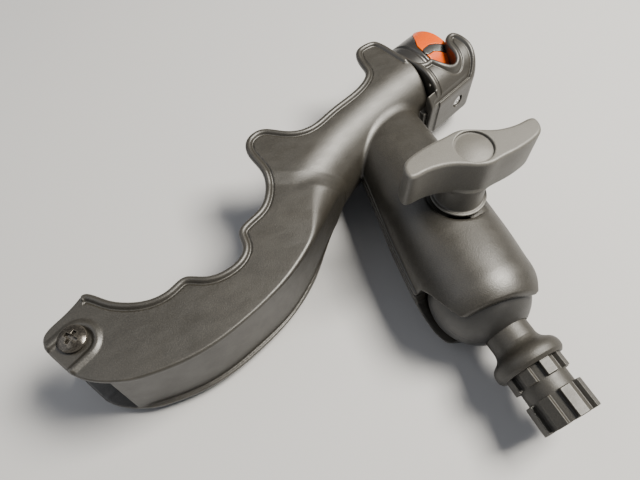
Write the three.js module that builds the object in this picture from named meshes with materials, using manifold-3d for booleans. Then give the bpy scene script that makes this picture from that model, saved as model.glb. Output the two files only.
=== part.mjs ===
// Rod holder that clamps on a ball: an open rod cradle, its front yoke and lock collar,
// a split socket arm with a wing knob, and a ball on a splined post.
// Millimetres. X points to the rod's tip, -Y along the post, +Z along the knob's bolt.
// The holder lies on its side; the origin is the middle of the post's end face.

import * as THREE from 'three';
import { mergeVertices } from 'three/addons/utils/BufferGeometryUtils.js';
import Module from 'manifold-3d';

const wasm = await Module();
wasm.setup();

// ---------------------------------------------------------------- driving dimensions

const GAP = 0.3;                      // running gap between neighbouring pieces
const WALL = 3.2;                     // moulded wall of cradle and yoke
const POST_LENGTH = 79;               // ball centre to the post's end face

const BALL_R = 28.575;                // 2.25 inch ball
const NECK_R = 12.7;
const COLLAR_R = 19.8;
const SPLINE_R = 16.2;
const GROOVE_R = 13.6;
const SPLINE_TEETH = 8;
const TOOTH_WIDTH = 6.1;
const SPLINE_RUNS = [[-56, -48], [-POST_LENGTH, -63.6]];

const TROUGH_HALF = 26.8;             // half width over the flat side walls
const BARREL_R = 28.5;                // half width and bottom radius of the barrel
const BARREL_TILT = THREE.MathUtils.degToRad(17.6);
const BARREL_HEIGHT = 137;            // from the ball centre square to the barrel's axis
const FLOOR_RISE = 5.7;               // rod floor above the belly line in the tail
const FLOOR_END_X = -196;             // the floor stops here, short of the tail pin
const TAIL_PIN = new THREE.Vector2(-205, 67.8);
const TAIL_HOLE_R = 2.8;
const TAIL_SLEEVE_R = 5;
const TAIL_SLEEVE_HALF = 23.3;        // half length, between the side walls
const TAIL_SEAT_Z = 27.1;             // under the screw's head and under the nut
const TAIL_HEAD_R = 7.5;
const TAIL_HEAD_H = 3;
const TAIL_SCREW_R = 2.5;
const TAIL_SCREW_END = -31.4;
const TAIL_NUT_R = 5.4;               // to its corners
const TAIL_NUT_END = -31;

const SOCKET_R = 33.5;                // outside of the arm round the ball
const ARM_WALL = 4;
const PARTING = 0.6;                  // each arm half stops this far from the middle plane
const KNOB_X = 12.6;
const KNOB_Y = 49.3;
const SEAT_Z = 28.6;                  // flat under the knob's washer
const SEAT_R = 17.4;
const BOLT_R = 4;
const BOLT_TOP = 60;
const BOLT_HEAD_R = 7.3;              // to its corners
const BOLT_HEAD_Z = [-29.3, -23.8];
const PILLAR_R = 9.5;                 // stiffening post round the bolt inside each arm half
const PILLAR_Z = [9, 28.4];
const HOLLOW_Y = [24, 112];           // the arm's inside is hollow between these
const BALL_CLEARANCE = GAP + 0.2;
const LIP_OUT = 0.9;                  // raised edge where the arm's halves face each other
const LIP_Z = 3.4;
const SPRING_R = 6;                   // return spring: middle of its wire
const SPRING_WIRE_R = 0.8;
const SPRING_HALF = 8.7;
const WASHER_R = 12.5;
const WASHER_Z = [28.9, 30.1];
const KNOB_LOW = 30.4;
const KNOB_BOSS_R = 14;
const KNOB_FOOT_R = 16.2;             // thin flange at the boss's base
const KNOB_FOOT_TOP = 31.9;
const WING_LOW = 46;
const WING_TOP = 71;
const WING_TURN = THREE.MathUtils.degToRad(-4);
const WING_EDGE = 1.6;                // bevel round the wing
const DISH_R = 10.3;                  // round hollow in the wing's top
const DISH_DEPTH = 1.5;
const INSERT_R = 6.5;
const INSERT_TOP = 62;

const COLLAR_RISE = 2.5;              // the lock collar's axis above the barrel's axis
const SPIGOT_IN = 18.4;               // open spigot that the collar turns on
const SPIGOT_OUT = 21;
const COLLAR_OUT = 24.7;
const GRIP_OUT = 25.3;
const COLLAR_START = 98.5;            // along the barrel's axis, from square over the ball
const COLLAR_SPLIT = 112;             // where the black collar meets the orange grip
const COLLAR_END = 131.5;
const BAND_IN = 23.6;                 // floor of the groove that holds the grip's black band
const COLLAR_GAP = 100;               // degrees left open for the rod
const SPIGOT_START = 88;
const WEB_S = [86, 90.4];             // plate that joins the barrel to its spigot
const TONGUE_START = 80;
const TONGUE_END = 126;
const DETENT_ANGLE = THREE.MathUtils.degToRad(142);
const DETENT_S = 108;
const DETENT_BALL_R = 2;
const DETENT_BALL_OUT = 26.1;         // its middle, from the collar's axis
const YOKE_HALF = 28.2;
const YOKE_BOTTOM = -35;              // below the barrel's axis
const YOKE_SCREW_S = 114;
const YOKE_HEAD_R = 4.2;
const YOKE_HEAD_H = 2.2;
const YOKE_SCREW_R = 1.9;
const YOKE_SCREW_LENGTH = 10.5;
const YOKE_HOLE_R = 2.2;
const YOKE_NUT_R = 4.05;              // to its corners
const YOKE_NUT_N = [-26.4, -23.2];
const TONGUE_HALF = 8;                // tongue under the collar that carries the yoke
const TONGUE_LOW = -31.5;
const TONGUE_TOP = -27;
const SCREW_SEAT = YOKE_BOTTOM + 1.4; // floor of the counterbore for the yoke's screw

// ---------------------------------------------------------------- solids and helpers

/** A closed BufferGeometry as a manifold solid, turned outside out if it is inside out. */
function solid(geometry) {
  const bare = geometry.clone();
  for (const name of Object.keys(bare.attributes)) {
    if (name !== 'position') bare.deleteAttribute(name);
  }
  const merged = mergeVertices(bare, 1e-3);
  const points = merged.attributes.position;
  const corner = [new THREE.Vector3(), new THREE.Vector3(), new THREE.Vector3()];
  const faces = [];
  let volume = 0;
  for (let i = 0; i < merged.index.count; i += 3) {
    const face = [0, 1, 2].map((k) => merged.index.getX(i + k));
    if (new Set(face).size < 3) continue;
    faces.push(face);
    face.forEach((v, k) => corner[k].fromBufferAttribute(points, v));
    volume += corner[0].dot(corner[1].cross(corner[2]));
  }
  if (volume < 0) faces.forEach((face) => face.reverse());
  return new wasm.Manifold(new wasm.Mesh({
    numProp: 3,
    vertProperties: new Float32Array(points.array),
    triVerts: new Uint32Array(faces.flat()),
  }));
}

/** A manifold solid back as a BufferGeometry. */
function geometryOf(manifold) {
  const mesh = manifold.getMesh();
  const geometry = new THREE.BufferGeometry();
  geometry.setAttribute('position', new THREE.BufferAttribute(mesh.vertProperties, 3));
  geometry.setIndex(new THREE.BufferAttribute(mesh.triVerts, 1));
  geometry.computeVertexNormals();
  return geometry;
}

function finish(color, roughness, metalness) {
  return new THREE.MeshStandardMaterial({ color, roughness, metalness });
}

/** A named mesh from a manifold solid. */
function piece(name, manifold, material) {
  const mesh = new THREE.Mesh(geometryOf(manifold), material);
  mesh.name = name;
  return mesh;
}

function union(...solids) {
  return solids.reduce((sum, next) => sum.add(next));
}

/** Moves a geometry by a matrix made from a position and XYZ angles, then makes it solid. */
function placed(geometry, [x, y, z], [rx, ry, rz] = [0, 0, 0]) {
  const turn = new THREE.Quaternion().setFromEuler(new THREE.Euler(rx, ry, rz));
  const matrix = new THREE.Matrix4().compose(
    new THREE.Vector3(x, y, z), turn, new THREE.Vector3(1, 1, 1));
  return solid(geometry.clone().applyMatrix4(matrix));
}

/** A box between two corners. */
function block(low, high) {
  const size = high.map((h, i) => h - low[i]);
  const middle = high.map((h, i) => (h + low[i]) / 2);
  return placed(new THREE.BoxGeometry(...size), middle);
}

/** A cylinder along Z from z0 to z1. */
function rodZ(x, y, radius, z0, z1, sides = 32) {
  const geometry = new THREE.CylinderGeometry(radius, radius, z1 - z0, sides);
  return placed(geometry, [x, y, (z0 + z1) / 2], [Math.PI / 2, 0, 0]);
}

/** A solid of revolution about Z from [radius, z] points that start and end on the axis. */
function turned(points, sides = 32) {
  const profile = points.map(([r, z]) => new THREE.Vector2(r, z));
  const geometry = new THREE.LatheGeometry(profile, sides);
  geometry.rotateX(Math.PI / 2);
  return geometry;
}

/** An outline in X and Y, extruded along Z from z0 to z1. */
function plate(points, z0, z1, curveSegments = 12) {
  const shape = points instanceof THREE.Shape ? points : new THREE.Shape(points);
  const geometry = new THREE.ExtrudeGeometry(shape, {
    depth: z1 - z0, bevelEnabled: false, curveSegments,
  });
  return placed(geometry, [0, 0, z0]);
}

/** A closed body through equal rings of points, with a fan over each end. */
function loft(rings) {
  const count = rings[0].length;
  const positions = rings.flat().flatMap((p) => [p.x, p.y, p.z]);
  const index = [];
  for (let i = 0; i + 1 < rings.length; i++) {
    for (let j = 0; j < count; j++) {
      const a = i * count + j;
      const b = i * count + (j + 1) % count;
      index.push(a, b, b + count, a, b + count, a + count);
    }
  }
  for (const end of [0, rings.length - 1]) {
    const middle = new THREE.Vector3();
    rings[end].forEach((p) => middle.addScaledVector(p, 1 / count));
    const hub = positions.length / 3;
    positions.push(middle.x, middle.y, middle.z);
    for (let j = 0; j < count; j++) {
      const a = end * count + j;
      const b = end * count + (j + 1) % count;
      index.push(...(end === 0 ? [hub, b, a] : [hub, a, b]));
    }
  }
  const geometry = new THREE.BufferGeometry();
  geometry.setAttribute('position', new THREE.Float32BufferAttribute(positions, 3));
  geometry.setIndex(index);
  return solid(geometry);
}

/** Linear steps through [x, value] pairs. */
function ramp(x, pairs) {
  if (x <= pairs[0][0]) return pairs[0][1];
  for (let i = 1; i < pairs.length; i++) {
    const [x1, v1] = pairs[i];
    if (x <= x1) {
      const [x0, v0] = pairs[i - 1];
      return v0 + (v1 - v0) * (x - x0) / (x1 - x0);
    }
  }
  return pairs[pairs.length - 1][1];
}

/** Points of a smooth curve through the given X, Y pairs. */
function smooth(pairs, steps, closed = false) {
  const curve = new THREE.CatmullRomCurve3(
    pairs.map(([x, y]) => new THREE.Vector3(x, y, 0)), closed, 'centripetal');
  const points = curve.getPoints(steps).map((p) => new THREE.Vector2(p.x, p.y));
  if (closed) points.pop();
  return points;
}

// ---------------------------------------------------------------- barrel frame

const ALONG = new THREE.Vector3(Math.cos(BARREL_TILT), Math.sin(BARREL_TILT), 0);
const ABOVE = new THREE.Vector3(-Math.sin(BARREL_TILT), Math.cos(BARREL_TILT), 0);

/** X, Y of a point s along the barrel's axis and n above it. */
function barrelPoint(s, n) {
  const p = new THREE.Vector3().addScaledVector(ALONG, s).addScaledVector(ABOVE, BARREL_HEIGHT + n);
  return [p.x, p.y];
}

/** Puts a body made about local Z (with local X up) on the barrel's axis at s = 0. */
const BARREL_MATRIX = new THREE.Matrix4()
  .makeBasis(ABOVE, new THREE.Vector3(0, 0, 1), ALONG)
  .setPosition(ABOVE.x * BARREL_HEIGHT, ABOVE.y * BARREL_HEIGHT, 0);

function onBarrel(geometry) {
  return solid(geometry.clone().applyMatrix4(BARREL_MATRIX));
}

/** An outline in n (up) and z (sideways), extruded along the barrel's axis. */
function along(shape, s0, s1, curveSegments = 12) {
  const geometry = new THREE.ExtrudeGeometry(shape, {
    depth: s1 - s0, bevelEnabled: false, curveSegments,
  });
  geometry.translate(0, 0, s0);
  return onBarrel(geometry);
}

/** A ring sector about the collar's axis; angles in degrees from straight up toward +Z. */
function sector(inner, outer, from, to, s0, s1, segments = 24) {
  const shape = new THREE.Shape();
  const a = THREE.MathUtils.degToRad(from);
  const b = THREE.MathUtils.degToRad(to);
  shape.absarc(COLLAR_RISE, 0, outer, a, b, false);
  shape.absarc(COLLAR_RISE, 0, inner, b, a, true);
  return along(shape, s0, s1, segments);
}

/** A full cylinder about the collar's axis. */
function collarBore(radius, s0, s1, segments = 24) {
  const shape = new THREE.Shape();
  shape.absarc(COLLAR_RISE, 0, radius, 0, 2 * Math.PI, false);
  return along(shape, s0, s1, segments / 2);
}

/** A box in barrel directions: s along, n above the barrel's axis, z sideways. */
function barrelBlock(s0, s1, n0, n1, half) {
  const shape = new THREE.Shape([
    new THREE.Vector2(n0, -half), new THREE.Vector2(n1, -half),
    new THREE.Vector2(n1, half), new THREE.Vector2(n0, half),
  ]);
  return along(shape, s0, s1);
}

/** A side view given as [s, n] pairs, as points in X and Y. */
function barrelOutline(pairs) {
  return pairs.map(([s, n]) => new THREE.Vector2(...barrelPoint(s, n)));
}

// ---------------------------------------------------------------- cradle

// Belly line from behind the tail to the barrel's front end.
const BELLY = smooth([
  [-236, 44], [-209, 38.5], [-190, 35], [-172, 32], [-151, 31.5], [-128, 36], [-102, 45],
  [-85, 54], [-70, 65], [-55, 78.5], [-38, 91.5], [-18, 103.5], [6, 114.5],
  barrelPoint(60, -BARREL_R), barrelPoint(100, -BARREL_R), barrelPoint(125, -BARREL_R),
], 36);

// Rim of the side walls from the tail up to the ear.
const RIM_BACK = [
  [-182, 32.2], [-191, 36.4], [-199, 40.5], [-209, 49], [-215, 60], [-218.6, 69],
  [-217.5, 76.5], [-208, 82], [-198, 87.5], [-193, 89.5], [-184.5, 81.5], [-176, 75],
  [-166, 71], [-155, 71], [-147, 74], [-142, 74], [-134, 69.6], [-125, 68], [-115, 70.5],
  [-109, 77], [-107.5, 86], [-101, 91], [-91.5, 95], [-85, 101], [-79.5, 112],
];
// The ear at the back of the barrel: tall on the knob's side, shorter on the far side.
const NEAR_EAR = [[-79, 123], [-80.5, 134], [-77, 144], [-67, 148], [-59, 144.5], [-50, 138]];
const FAR_EAR = [[-78, 121], [-75, 131], [-70, 138], [-62, 141.5], [-55, 140], [-48, 137.5]];
// On over the barrel to its front edge.
const RIM_FRONT = [
  [-37, 136], [-20, 142], [-1.6, 148], [10.8, 154], [17.5, 161], [18.4, 169], [21, 180],
  [27, 184.3], barrelPoint(90.8, 28.2), barrelPoint(93.4, 24.6), barrelPoint(94.4, 19),
];
// The barrel's front edge from the ear down, and on below the barrel.
const FRONT_EDGE = [[94, -4], [92.4, -14.4], [89.8, -24.7], [87, -BARREL_R - 2]];

/** U-shaped section rings along the belly line, each closed straight across its top. */
function troughRings({ from, to, side, corner, bottom, top, steps = 5 }) {
  const rings = [];
  BELLY.forEach((point, i) => {
    if (point.x < from || point.x > to) return;
    const next = BELLY[Math.min(i + 1, BELLY.length - 1)];
    const last = BELLY[Math.max(i - 1, 0)];
    const tangent = next.clone().sub(last).normalize();
    const up = new THREE.Vector2(-tangent.y, tangent.x);
    const w = side(point.x);
    const r = Math.min(corner(point.x), w - 0.01);
    const low = bottom(point.x);
    const high = top(point.x);
    const at = (n, z) => new THREE.Vector3(point.x + up.x * n, point.y + up.y * n, z);
    const ring = [at(high, w)];
    for (let k = 0; k <= steps; k++) {
      const angle = (k / steps) * Math.PI / 2;
      ring.push(at(low + r - r * Math.sin(angle), w - r + r * Math.cos(angle)));
    }
    const mirrored = ring.map((p) => new THREE.Vector3(p.x, p.y, -p.z)).reverse();
    rings.push([...ring, ...mirrored]);
  });
  return rings;
}

const outerHalf = (x) => ramp(x, [[-60, TROUGH_HALF], [-40, BARREL_R]]);
const outerCorner = (x) => ramp(x, [[-115, 2.2], [-60, 4], [-42, 26], [-15, BARREL_R]]);
const wallTop = (x) => ramp(x, [[-60, 76], [-20, 66]]);

function troughOutside(extra = 0) {
  return loft(troughRings({
    from: -240, to: 200,
    side: (x) => outerHalf(x) + extra,
    corner: (x) => outerCorner(x) + extra,
    bottom: () => -extra,
    top: wallTop,
  }));
}

/** The channel that the rod lies in. */
function rodChannel() {
  return loft(troughRings({
    from: -240, to: 200,
    side: (x) => outerHalf(x) - WALL,
    corner: (x) => ramp(x, [[-150, 15], [-60, 18], [-15, BARREL_R - WALL]]),
    bottom: (x) => ramp(x, [[-90, FLOOR_RISE], [-40, WALL]]),
    top: (x) => wallTop(x) + 6,
  }));
}

/** The hollow under the floor of the tail, between the skirts of the side walls. */
function bellyRecess() {
  const depth = (x) => ramp(x, [[-120, FLOOR_RISE - WALL], [-36, 0.3]]);
  return loft(troughRings({
    from: -240, to: -34,
    side: (x) => ramp(x, [[-95, TROUGH_HALF - WALL], [-36, 13]]),
    corner: () => 0.5,
    bottom: () => -20,
    top: depth,
    steps: 1,
  }));
}

/** The side view of one wall, with the ear that it has. */
function sideOutline(ear) {
  return [...smooth([...RIM_BACK, ...ear, ...RIM_FRONT], 84), ...barrelOutline(FRONT_EDGE),
    new THREE.Vector2(40, 20), new THREE.Vector2(-170, 10)];
}

// The arm's outside as [Y, value] pairs: half width in X, half height in Z, and its lean in X.
const ARM_HALF_WIDTH = [[0, SOCKET_R], [17, 33.6], [50, 31.4], [97, 28], [130, 26]];
const ARM_HALF_HEIGHT = [[0, SOCKET_R], [12, 33.2], [30, 31.8], [62, 29.6], [100, 24], [130, 19.5]];
const ARM_LEAN = [[0, 0], [17, 1.6], [50, 4.8], [97, 11], [130, 15]];
const ARM_SQUARENESS = [[4, 2], [50, 2.5], [130, 2.4]];

/** Rings of the arm: a superellipse at each Y, a sphere round the ball at the low end. */
function armRings(grow, sides) {
  const rings = [];
  const stations = [-33, -30, -24, -17, -9, 0, 9, 20, 34, 50, 68, 88, 108, 130];
  for (const y of stations) {
    const round = y < 0;
    const sphere = Math.sqrt(Math.max(SOCKET_R ** 2 - y * y, 4));
    const shift = ramp(y, ARM_LEAN);
    const wide = round ? sphere : ramp(y, ARM_HALF_WIDTH);
    const high = round ? sphere : ramp(y, ARM_HALF_HEIGHT);
    const power = ramp(y, ARM_SQUARENESS);
    const ring = [];
    for (let k = 0; k < sides; k++) {
      const angle = (k / sides) * Math.PI * 2;
      const c = Math.cos(angle);
      const s = Math.sin(angle);
      const px = Math.sign(c) * Math.abs(c) ** (2 / power);
      const pz = Math.sign(s) * Math.abs(s) ** (2 / power);
      ring.push(new THREE.Vector3(shift + (wide + grow) * px, y, (high + grow) * pz));
    }
    rings.push(ring);
  }
  return rings;
}

// One side of the opening for the ball's neck, as [Y, Z] points.
const NECK_SLOT = [[15, 8.5], [8, 13.5], [-2, 17.6], [-17, 20.6]];

/** The part of the arm that both halves leave open for the ball's neck. */
function neckSlot() {
  const lowest = NECK_SLOT[NECK_SLOT.length - 1][0];
  const outline = [
    ...NECK_SLOT, [lowest, 60], [-60, 60], [-60, -60], [lowest, -60],
    ...NECK_SLOT.map(([y, z]) => [y, -z]).reverse(),
  ];
  const shape = new THREE.Shape(outline.map(([y, z]) => new THREE.Vector2(y, z)));
  const geometry = new THREE.ExtrudeGeometry(shape, { depth: 120, bevelEnabled: false });
  geometry.translate(0, 0, -60);
  const matrix = new THREE.Matrix4().makeBasis(
    new THREE.Vector3(0, 1, 0), new THREE.Vector3(0, 0, 1), new THREE.Vector3(1, 0, 0));
  return solid(geometry.applyMatrix4(matrix));
}

/** Everything below the slanted line that the arm's two halves end at, under the ball. */
function belowMouth() {
  return plate([[-60, -6.1], [60, -26.5], [60, -60], [-60, -60]]
    .map(([x, y]) => new THREE.Vector2(x, y)), -60, 60);
}

/** One half shell of the socket arm: side is 1 for the knob's half, -1 for the far jaw. */
function armHalf(side) {
  const layer = (low, high, y0 = -60, y1 = 160) => {
    const z = [side * low, side * high].sort((p, q) => p - q);
    return block([-80, y0, z[0]], [80, y1, z[1]]);
  };
  const edge = loft(armRings(LIP_OUT, 28)).intersect(layer(PARTING, LIP_Z));
  const shell = loft(armRings(0, 28)).intersect(layer(PARTING, 60));
  const hollow = loft(armRings(-ARM_WALL, 14)).intersect(layer(-1, 60, ...HOLLOW_Y));
  const [low, high] = PILLAR_Z.map((z) => side * z).sort((p, q) => p - q);
  const ball = placed(new THREE.SphereGeometry(BALL_R + BALL_CLEARANCE, 24, 14), [0, 0, 0]);
  return union(shell, edge)
    .subtract(hollow)
    .add(rodZ(KNOB_X, KNOB_Y, PILLAR_R, low, high, 24))
    .subtract(ball)
    .subtract(neckSlot())
    .subtract(belowMouth())
    .subtract(rodZ(KNOB_X, KNOB_Y, BOLT_R + GAP, -60, 60, 24));
}

/** Seat for the knob: a shallow round pocket in the arm's face. */
function knobSeat() {
  return rodZ(KNOB_X, KNOB_Y, SEAT_R, SEAT_Z, 60, 28);
}

/** What carries the front end: an open spigot for the collar and a tongue for the yoke. */
function frontSpigot() {
  const half = COLLAR_GAP / 2;
  const round = along(new THREE.Shape().absarc(0, 0, BARREL_R - 0.6, 0, 2 * Math.PI), ...WEB_S);
  const web = round.intersect(barrelBlock(80, 100, -30, 10, 40))
    .subtract(collarBore(SPIGOT_IN, 80, 95));
  return union(
    web,
    sector(SPIGOT_IN, SPIGOT_OUT, half, 360 - half, SPIGOT_START, COLLAR_END + 2),
    barrelBlock(TONGUE_START, TONGUE_END, TONGUE_LOW, TONGUE_TOP, TONGUE_HALF),
  ).subtract(barrelBlock(80, 140, SPIGOT_IN * 0.4, 60, SPIGOT_IN * 0.76));
}

/** A round hole square to the barrel's axis, from n0 to n1 above it. */
function squareHole(s, n0, n1, radius, sides = 20) {
  const [x, y] = barrelPoint(s, (n0 + n1) / 2);
  const geometry = new THREE.CylinderGeometry(radius, radius, n1 - n0, sides);
  return placed(geometry, [x, y, 0], [0, 0, BARREL_TILT]);
}

function cradleBody() {
  const sides = union(plate(sideOutline(FAR_EAR), -60, 60), plate(sideOutline(NEAR_EAR), 0, 60));
  const shell = troughOutside().intersect(sides);
  const tail = block([-260, 0, -(TROUGH_HALF - WALL)], [FLOOR_END_X, 140, TROUGH_HALF - WALL]);
  const channel = rodChannel();
  const arm = armHalf(1).subtract(knobSeat()).subtract(channel);
  return shell
    .subtract(channel)
    .subtract(bellyRecess())
    .subtract(tail)
    .subtract(rodZ(TAIL_PIN.x, TAIL_PIN.y, TAIL_HOLE_R, -60, 60, 24))
    .add(arm)
    .add(frontSpigot())
    .subtract(squareHole(YOKE_SCREW_S, -45, -22, YOKE_HOLE_R));
}

// ---------------------------------------------------------------- clamp

/** The far jaw: the other half of the arm, free of the cradle and sliding on the bolt. */
function clampJaw() {
  return armHalf(-1)
    .subtract(troughOutside(0.6))
    .subtract(barrelBlock(60, 200, -40, 60, 60))
    .subtract(hexZ(KNOB_X, KNOB_Y, BOLT_HEAD_R + GAP, -60, BOLT_HEAD_Z[1] + GAP));
}

/** A hexagonal prism along Z; radius is to its corners. */
function hexZ(x, y, radius, z0, z1) {
  return rodZ(x, y, radius, z0, z1, 6);
}

function clampBolt() {
  return hexZ(KNOB_X, KNOB_Y, BOLT_HEAD_R, ...BOLT_HEAD_Z)
    .add(rodZ(KNOB_X, KNOB_Y, BOLT_R, BOLT_HEAD_Z[1] - 0.7, BOLT_TOP, 24));
}

/** A coil spring round an axis along Z, its two ends ground off square by the wire's end. */
function coil(x, y, radius, wire, z0, z1, turns, stepsPerTurn = 8) {
  const points = [];
  const steps = turns * stepsPerTurn;
  for (let i = 0; i <= steps; i++) {
    const angle = (i / stepsPerTurn) * Math.PI * 2;
    const z = z0 + wire + (z1 - z0 - 2 * wire) * (i / steps);
    points.push(new THREE.Vector3(x + radius * Math.cos(angle), y + radius * Math.sin(angle), z));
  }
  const circle = new THREE.Shape();
  circle.absarc(0, 0, wire, 0, 2 * Math.PI, false);
  return solid(new THREE.ExtrudeGeometry(circle, {
    extrudePath: new THREE.CatmullRomCurve3(points), steps, curveSegments: 2, bevelEnabled: false,
  }));
}

/** The spring that opens the far jaw. */
function jawSpring() {
  return coil(KNOB_X, KNOB_Y, SPRING_R, SPRING_WIRE_R, -SPRING_HALF, SPRING_HALF, 5);
}

/** The threaded sleeve moulded into the knob. */
function knobInsert() {
  return tubeZ(KNOB_X, KNOB_Y, BOLT_R + GAP, INSERT_R, KNOB_LOW + 0.2, INSERT_TOP, 20);
}

/** A tube or washer along Z. */
function tubeZ(x, y, inner, outer, z0, z1, sides = 28) {
  return rodZ(x, y, outer, z0, z1, sides).subtract(rodZ(x, y, inner, z0 - 1, z1 + 1, sides));
}

// Half of the wing's outline about the knob's axis; the other half is the same turned half round.
const WING_HALF = [
  [0, 12.8], [-9, 12.2], [-19, 11], [-31, 8.2], [-37, 5.2], [-39.6, 0.5], [-38.8, -4.4],
  [-31, -4.4], [-23, -4.4], [-14, -6.6],
];

/** The knob's wing: an S-shaped outline with softened edges over a round boss. */
function wingKnob() {
  const outline = smooth([...WING_HALF, ...WING_HALF.map(([x, y]) => [-x, -y])], 48, true);
  const wing = new THREE.ExtrudeGeometry(new THREE.Shape(outline), {
    depth: WING_TOP - WING_LOW - 2 * WING_EDGE, bevelEnabled: true, bevelSegments: 1,
    bevelSize: WING_EDGE, bevelThickness: WING_EDGE, bevelOffset: -WING_EDGE,
  });
  wing.rotateZ(WING_TURN);
  return placed(wing, [KNOB_X, KNOB_Y, WING_LOW + WING_EDGE])
    .add(rodZ(KNOB_X, KNOB_Y, KNOB_BOSS_R, KNOB_LOW, WING_LOW + 3, 28))
    .add(rodZ(KNOB_X, KNOB_Y, KNOB_FOOT_R, KNOB_LOW, KNOB_FOOT_TOP, 28))
    .subtract(rodZ(KNOB_X, KNOB_Y, DISH_R, WING_TOP - DISH_DEPTH, WING_TOP + 5, 24))
    .subtract(rodZ(KNOB_X, KNOB_Y, INSERT_R + GAP, 20, INSERT_TOP + 2, 24));
}

// ---------------------------------------------------------------- ball and post

// Half section of the stem from its shank inside the ball down to the post's end: [radius, Y].
const STEM = [
  [0, 12], [8, 12], [8, -24.5], [NECK_R, -24.5], [NECK_R, -33], [13.4, -35.6], [15.4, -37.4],
  [17.8, -39], [19.3, -41.2], [COLLAR_R, -44], [19.4, -46.6], [18, -48], [GROOVE_R, -48],
  [GROOVE_R, -POST_LENGTH], [0, -POST_LENGTH],
];

function ballCover() {
  const bore = [[0, 12 + GAP], [8 + GAP, 12 + GAP], [8 + GAP, -24.2], [NECK_R + GAP, -24.2],
    [NECK_R + GAP, -40], [0, -40]];
  return placed(new THREE.SphereGeometry(BALL_R, 30, 16), [0, 0, 0])
    .subtract(solid(latheY(bore, 24)));
}

/** A solid of revolution about Y from [radius, y] points. */
function latheY(points, sides) {
  return new THREE.LatheGeometry(points.map(([r, y]) => new THREE.Vector2(r, y)), sides);
}

function splinePost() {
  let post = solid(latheY(STEM, 28));
  for (const [y0, y1] of SPLINE_RUNS) {
    for (let i = 0; i < SPLINE_TEETH; i++) {
      const root = GROOVE_R - 3.6;
      const tooth = new THREE.BoxGeometry(SPLINE_R - root, y1 - y0, TOOTH_WIDTH);
      tooth.translate((SPLINE_R + root) / 2, (y0 + y1) / 2, 0);
      tooth.rotateY((i / SPLINE_TEETH) * 2 * Math.PI);
      post = post.add(solid(tooth));
    }
  }
  return post;
}

// ---------------------------------------------------------------- tail

/** A pan-head screw along Z: the head's underside is at z, its shank runs to end. */
function panScrew(x, y, z, headR, headH, shankR, end) {
  const arc = [0, 0.25, 0.5, 0.75, 1].map((t) => {
    const angle = t * Math.PI / 2;
    return [headR * Math.cos(angle), headH * (0.35 + 0.65 * Math.sin(angle))];
  });
  const profile = [[0, end - z], [shankR, end - z], [shankR, 0], [headR, 0], ...arc];
  profile[profile.length - 1][0] = 0;
  const head = turned(profile, 20);
  const screw = placed(head, [x, y, z]);
  const slot = headR * 0.62;
  const thick = headR * 0.15;
  return screw
    .subtract(block([x - slot, y - thick, z + headH * 0.45], [x + slot, y + thick, z + 9]))
    .subtract(block([x - thick, y - slot, z + headH * 0.45], [x + thick, y + slot, z + 9]));
}

function hexNut(x, y, radius, bore, z0, z1) {
  return hexZ(x, y, radius, z0, z1).subtract(rodZ(x, y, bore, z0 - 1, z1 + 1, 20));
}

function tailSleeve() {
  return tubeZ(TAIL_PIN.x, TAIL_PIN.y, TAIL_HOLE_R, TAIL_SLEEVE_R,
    -TAIL_SLEEVE_HALF, TAIL_SLEEVE_HALF, 24);
}

function tailScrew() {
  return panScrew(TAIL_PIN.x, TAIL_PIN.y, TAIL_SEAT_Z, TAIL_HEAD_R, TAIL_HEAD_H,
    TAIL_SCREW_R, TAIL_SCREW_END);
}

function tailNut() {
  return hexNut(TAIL_PIN.x, TAIL_PIN.y, TAIL_NUT_R, TAIL_HOLE_R, TAIL_NUT_END, -TAIL_SEAT_Z);
}

// ---------------------------------------------------------------- front end

// Side view of the yoke in s and n: scalloped rim, front horn, bottom and rear face.
const YOKE_SIDE = [
  [96.2, 3], [97, -4], [99.5, -8.5], [104, -10.6], [107.6, -10.4], [109.6, -15], [112, -20],
  [116, -23.6], [120, -23], [122.6, -18], [124.4, -11.5], [128, -7], [133, -5], [137, -5.6],
  [139.6, -9], [139.4, -21], [135, -30.5], [129, YOKE_BOTTOM], [125, YOKE_BOTTOM - 3],
  [83, YOKE_BOTTOM - 3], [83, -29], [91, -29], [94.6, -8], [95.6, 3],
];

function frontYoke() {
  const section = new THREE.Shape([
    [30, YOKE_HALF], [-15, YOKE_HALF], [-23, 26.4], [-30, 20.6], [YOKE_BOTTOM, 12.5],
    [YOKE_BOTTOM, -12.5], [-30, -20.6], [-23, -26.4], [-15, -YOKE_HALF], [30, -YOKE_HALF],
  ].map(([n, z]) => new THREE.Vector2(n, z)));
  const detent = detentPlace(22, 33.4, 2.3);
  return along(section, 83, 141)
    .intersect(plate(barrelOutline(YOKE_SIDE), -40, 40))
    .subtract(collarBore(COLLAR_OUT + GAP, 80, COLLAR_SPLIT))
    .subtract(collarBore(GRIP_OUT + GAP, COLLAR_SPLIT - 1, COLLAR_END + 2 + GAP))
    .subtract(collarBore(SPIGOT_IN, 130, 150))
    .subtract(barrelBlock(TONGUE_START, TONGUE_END + GAP, TONGUE_LOW - GAP, TONGUE_TOP + GAP,
      TONGUE_HALF + GAP))
    .subtract(barrelBlock(YOKE_SCREW_S - 4.4, YOKE_SCREW_S + 4.4, -28, -20, 4.4))
    .subtract(squareHole(YOKE_SCREW_S, -50, -22, 2.3))
    .subtract(squareHole(YOKE_SCREW_S, -50, SCREW_SEAT, 4.7))
    .subtract(detent);
}

/** A round peg standing out from the collar's axis toward the yoke's lower near corner. */
function detentPlace(r0, r1, radius) {
  const geometry = new THREE.CylinderGeometry(radius, radius, r1 - r0, 14);
  geometry.rotateZ(-Math.PI / 2);
  geometry.translate((r0 + r1) / 2, 0, 0);
  return onBarrel(turnToDetent(geometry));
}

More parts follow.
